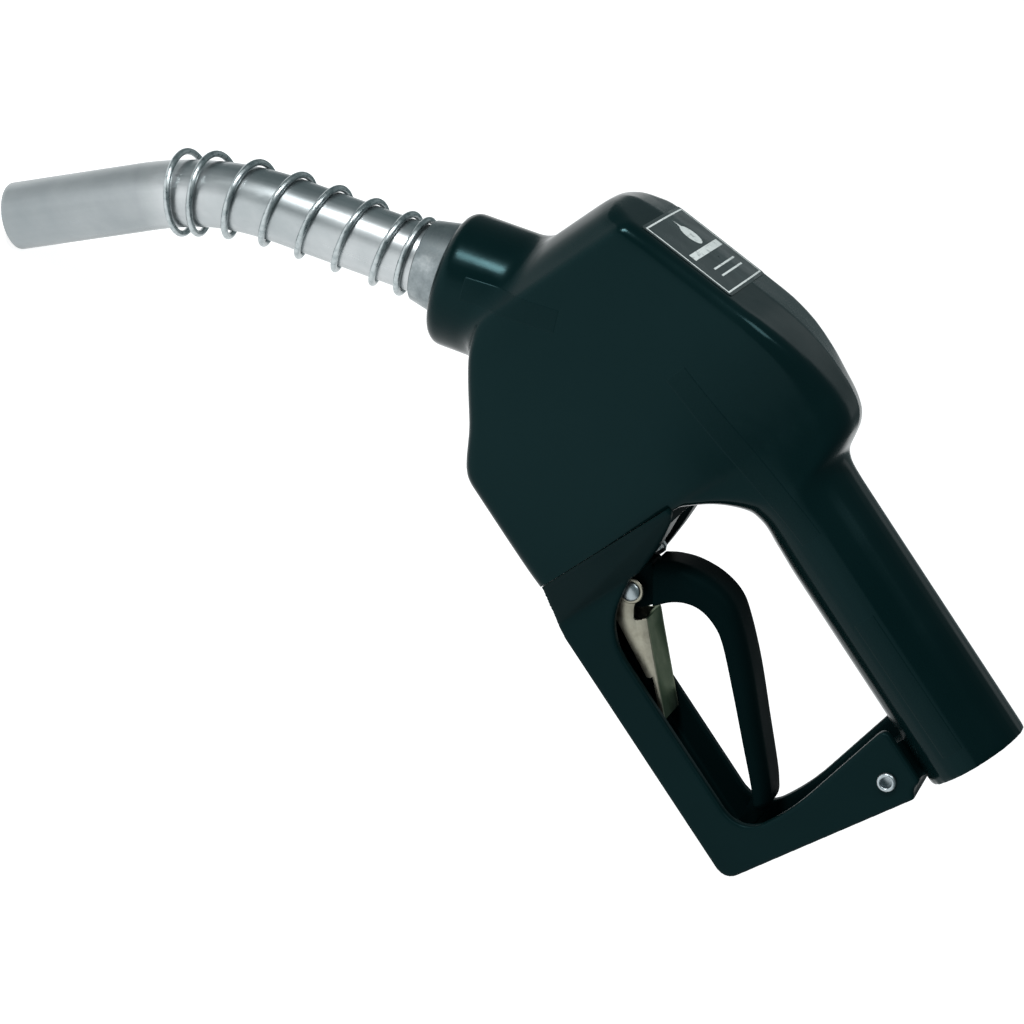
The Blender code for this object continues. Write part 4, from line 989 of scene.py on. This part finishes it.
def label_print():
    """A plain printed label: a border, a bar, a droplet and ruled lines, with no lettering."""
    look = Look("label_print", (0.012, 0.02, 0.021), 0.34)
    parts = look.tree.nodes.new("ShaderNodeSeparateXYZ")
    look.tree.links.new(look.place, parts.inputs[0])
    x, y = parts.outputs[0], parts.outputs[1]
    from_middle = look.math("ABSOLUTE", look.math("SUBTRACT", x, 195.25 * MM))
    across = look.math("ABSOLUTE", y)
    outer, inner = (look.math("MULTIPLY", look.math("LESS_THAN", from_middle, length * MM),
                              look.math("LESS_THAN", across, width * MM))
                    for length, width in ((16.6, 21.9), (16.0, 21.1)))
    ink = look.math("SUBTRACT", outer, inner)
    bar = look.math("MULTIPLY", between(look, x, 193.6, 196.4), look.math("LESS_THAN", across, 17.5 * MM))
    rules = look.math("ADD", between(look, x, 187.6, 188.3), between(look, x, 184.4, 185.1))
    rules = look.math("MULTIPLY", rules, look.math("LESS_THAN", across, 13.0 * MM))
    # droplet: a round foot and a point towards the front
    drop_x = look.math("SUBTRACT", x, 202.0 * MM)
    taper = look.span(drop_x, 0.0, 8.2 * MM, 1.0, 0.0)
    reach = look.math("MULTIPLY", look.math("MULTIPLY", taper, taper), 4.4 * MM)
    tip = look.math("MULTIPLY", look.math("GREATER_THAN", drop_x, 0.0), look.math("LESS_THAN", across, reach))
    foot = look.math("LESS_THAN", look.math("SQRT", look.math("ADD", look.math("MULTIPLY", drop_x, drop_x),
                                                               look.math("MULTIPLY", y, y))), 4.4 * MM)
    drop = look.math("MAXIMUM", tip, foot)
    white = look.math("MAXIMUM", look.math("MAXIMUM", ink, bar), look.math("MAXIMUM", rules, drop))
    worn = look.span(look.noise(420.0, 5.0, roughness=0.7), 0.36, 0.46, 0.55, 1.0)
    share = look.math("MULTIPLY", white, worn)
    look.to("Base Color", look.mix(share, (0.012, 0.021, 0.022), (0.62, 0.66, 0.65)))
    look.to("Roughness", look.span(look.noise(120.0, 3.0), 0.3, 0.7, 0.26, 0.40))
    look.bump((look.noise(500.0, 3.0), 0.06, 0.05))
    return look.material


def floor_paper():
    look = Look("studio_paper", (0.55, 0.55, 0.55), 0.9, **{
        "Specular IOR Level": 0.1, "Emission Color": (1.0, 1.0, 1.0, 1.0), "Emission Strength": 0.90})
    fibre = look.noise(30.0, 5.0)
    look.to("Base Color", look.ramp(fibre, (0.2, (0.545, 0.547, 0.547)), (0.8, (0.555, 0.555, 0.555))))
    return look.material


LOOKS = {
    "vinyl": vinyl(),
    "nylon": nylon("guard_nylon", (0.0014, 0.0074, 0.0080), 1.40),
    # painted shade: the lever's nylon is a darker copy of the guard's, standing in for the shade under the
    # handle
    "lever": nylon("lever_nylon", (0.0010, 0.0044, 0.0048), 1.12),
    "tube": tube_metal(),
    "ferrule": ferrule_metal(),
    "wire": wire_metal(),
    "nickel": clip_metal(),
    "pin": plated("pin_metal", (0.22, 0.26, 0.28), (0.38, 0.43, 0.45), (0.26, 0.40)),
    "steel": plated("plain_steel", (0.34, 0.36, 0.37), (0.56, 0.58, 0.59), (0.26, 0.42)),
    "brass": plated("turned_brass", (0.52, 0.38, 0.15), (0.76, 0.59, 0.28), (0.24, 0.40)),
    "cast": cast_metal(),
    "rubber": rubber(),
    "label": label_print(),
}
SLOT_LOOKS = {"cover_vinyl": "vinyl", "guard_nylon": "nylon", "lever_nylon": "lever", "label_film": "label",
              "spout_aluminium": "tube", "adapter_metal": "ferrule", "spring_steel": "wire",
              "clip_nickel": "nickel", "pin_aluminium": "pin", "cast_body": "cast", "steel": "steel",
              "brass": "brass", "rubber": "rubber"}


def dress(piece, look):
    piece.data.materials.clear()
    piece.data.materials.append(LOOKS[look])


for part in frame["record"]["subparts"]:
    node = frame["nodes"].get(part["node"])
    if node:
        dress(node, SLOT_LOOKS[part["material_slot"]])

# piece, CAD nodes that it stands for, material slot, body
PIECES = [
    (make_cover(), ["body_cover"], "cover_vinyl", "housing"),
    (make_casting(), ["body_casting"], "cast_body", "housing"),
    (make_inlet_thread(), [], "cast_body", "housing"),
    (make_label(), ["label_plate"], "label_film", "housing"),
    (make_guard(), ["lever_guard"], "guard_nylon", "housing"),
    (make_rivet(), ["guard_rivet"], "pin_aluminium", "housing"),
    (make_spout(), ["spout_tube"], "spout_aluminium", "housing"),
    (make_ferrule(), ["spout_adapter"], "adapter_metal", "housing"),
    (make_spring(), ["spout_spring"], "spring_steel", "housing"),
    (make_lever(), ["lever"], "lever_nylon", "lever"),
    (make_clip(), ["hold_open_clip"], "clip_nickel", "hold_open"),
    (make_pin(), ["pivot_pin"], "pin_aluminium", "latch"),
]
for piece, stands_for, slot, body in PIECES:
    dress(piece, SLOT_LOOKS[slot])
    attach(piece, body)
    if stands_for:
        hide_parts(*stands_for)


# ---------------------------------------------------------------- studio
def make_camera():
    data = bpy.data.cameras.new("camera")
    data.sensor_width = SENSOR_WIDTH
    data.lens = FOCAL_LENGTH
    data.clip_end = 200.0
    camera = bpy.data.objects.new("camera", data)
    bpy.context.scene.collection.objects.link(camera)
    camera.location = CAMERA_PLACE
    camera.rotation_euler = [math.radians(angle) for angle in CAMERA_TURN]
    bpy.context.scene.camera = camera


def make_floor():
    z = CAD_BOX[0][2] - 0.001
    mesh = bpy.data.meshes.new("floor")
    reach = 60.0
    corners = [(x * reach, y * reach, z) for x, y in ((-1, -1), (1, -1), (1, 1), (-1, 1))]
    mesh.from_pydata(corners, [], [(0, 1, 2, 3)])
    floor = bpy.data.objects.new("floor", mesh)
    bpy.context.scene.collection.objects.link(floor)
    mesh.materials.append(floor_paper())


def make_light(name, place, target, size, power):
    data = bpy.data.lights.new(name, "AREA")
    data.shape = "RECTANGLE"
    data.size, data.size_y = size
    data.energy = power
    lamp = bpy.data.objects.new(name, data)
    bpy.context.scene.collection.objects.link(lamp)
    lamp.location = place
    lamp.rotation_euler = (Vector(target) - Vector(place)).to_track_quat("-Z", "Y").to_euler()


def make_world():
    world = bpy.data.worlds.new("studio")
    world.use_nodes = True
    world.node_tree.nodes["Background"].inputs["Color"].default_value = (0.76, 0.97, 1.0, 1.0)
    world.node_tree.nodes["Background"].inputs["Strength"].default_value = 0.24
    bpy.context.scene.world = world
    bpy.context.scene.view_settings.view_transform = "Standard"


make_camera()
make_floor()
make_world()
middle = (0.18, 0.0, -0.06)
make_light("top", (0.27, 0.42, 0.90), middle, (0.34, 0.30), 3.4)
make_light("front", (0.72, 0.46, 0.36), (0.22, 0.0, -0.05), (0.15, 0.20), 5.0)
make_light("rim", (0.1, -0.9, 0.55), middle, (0.9, 0.25), 0.3)
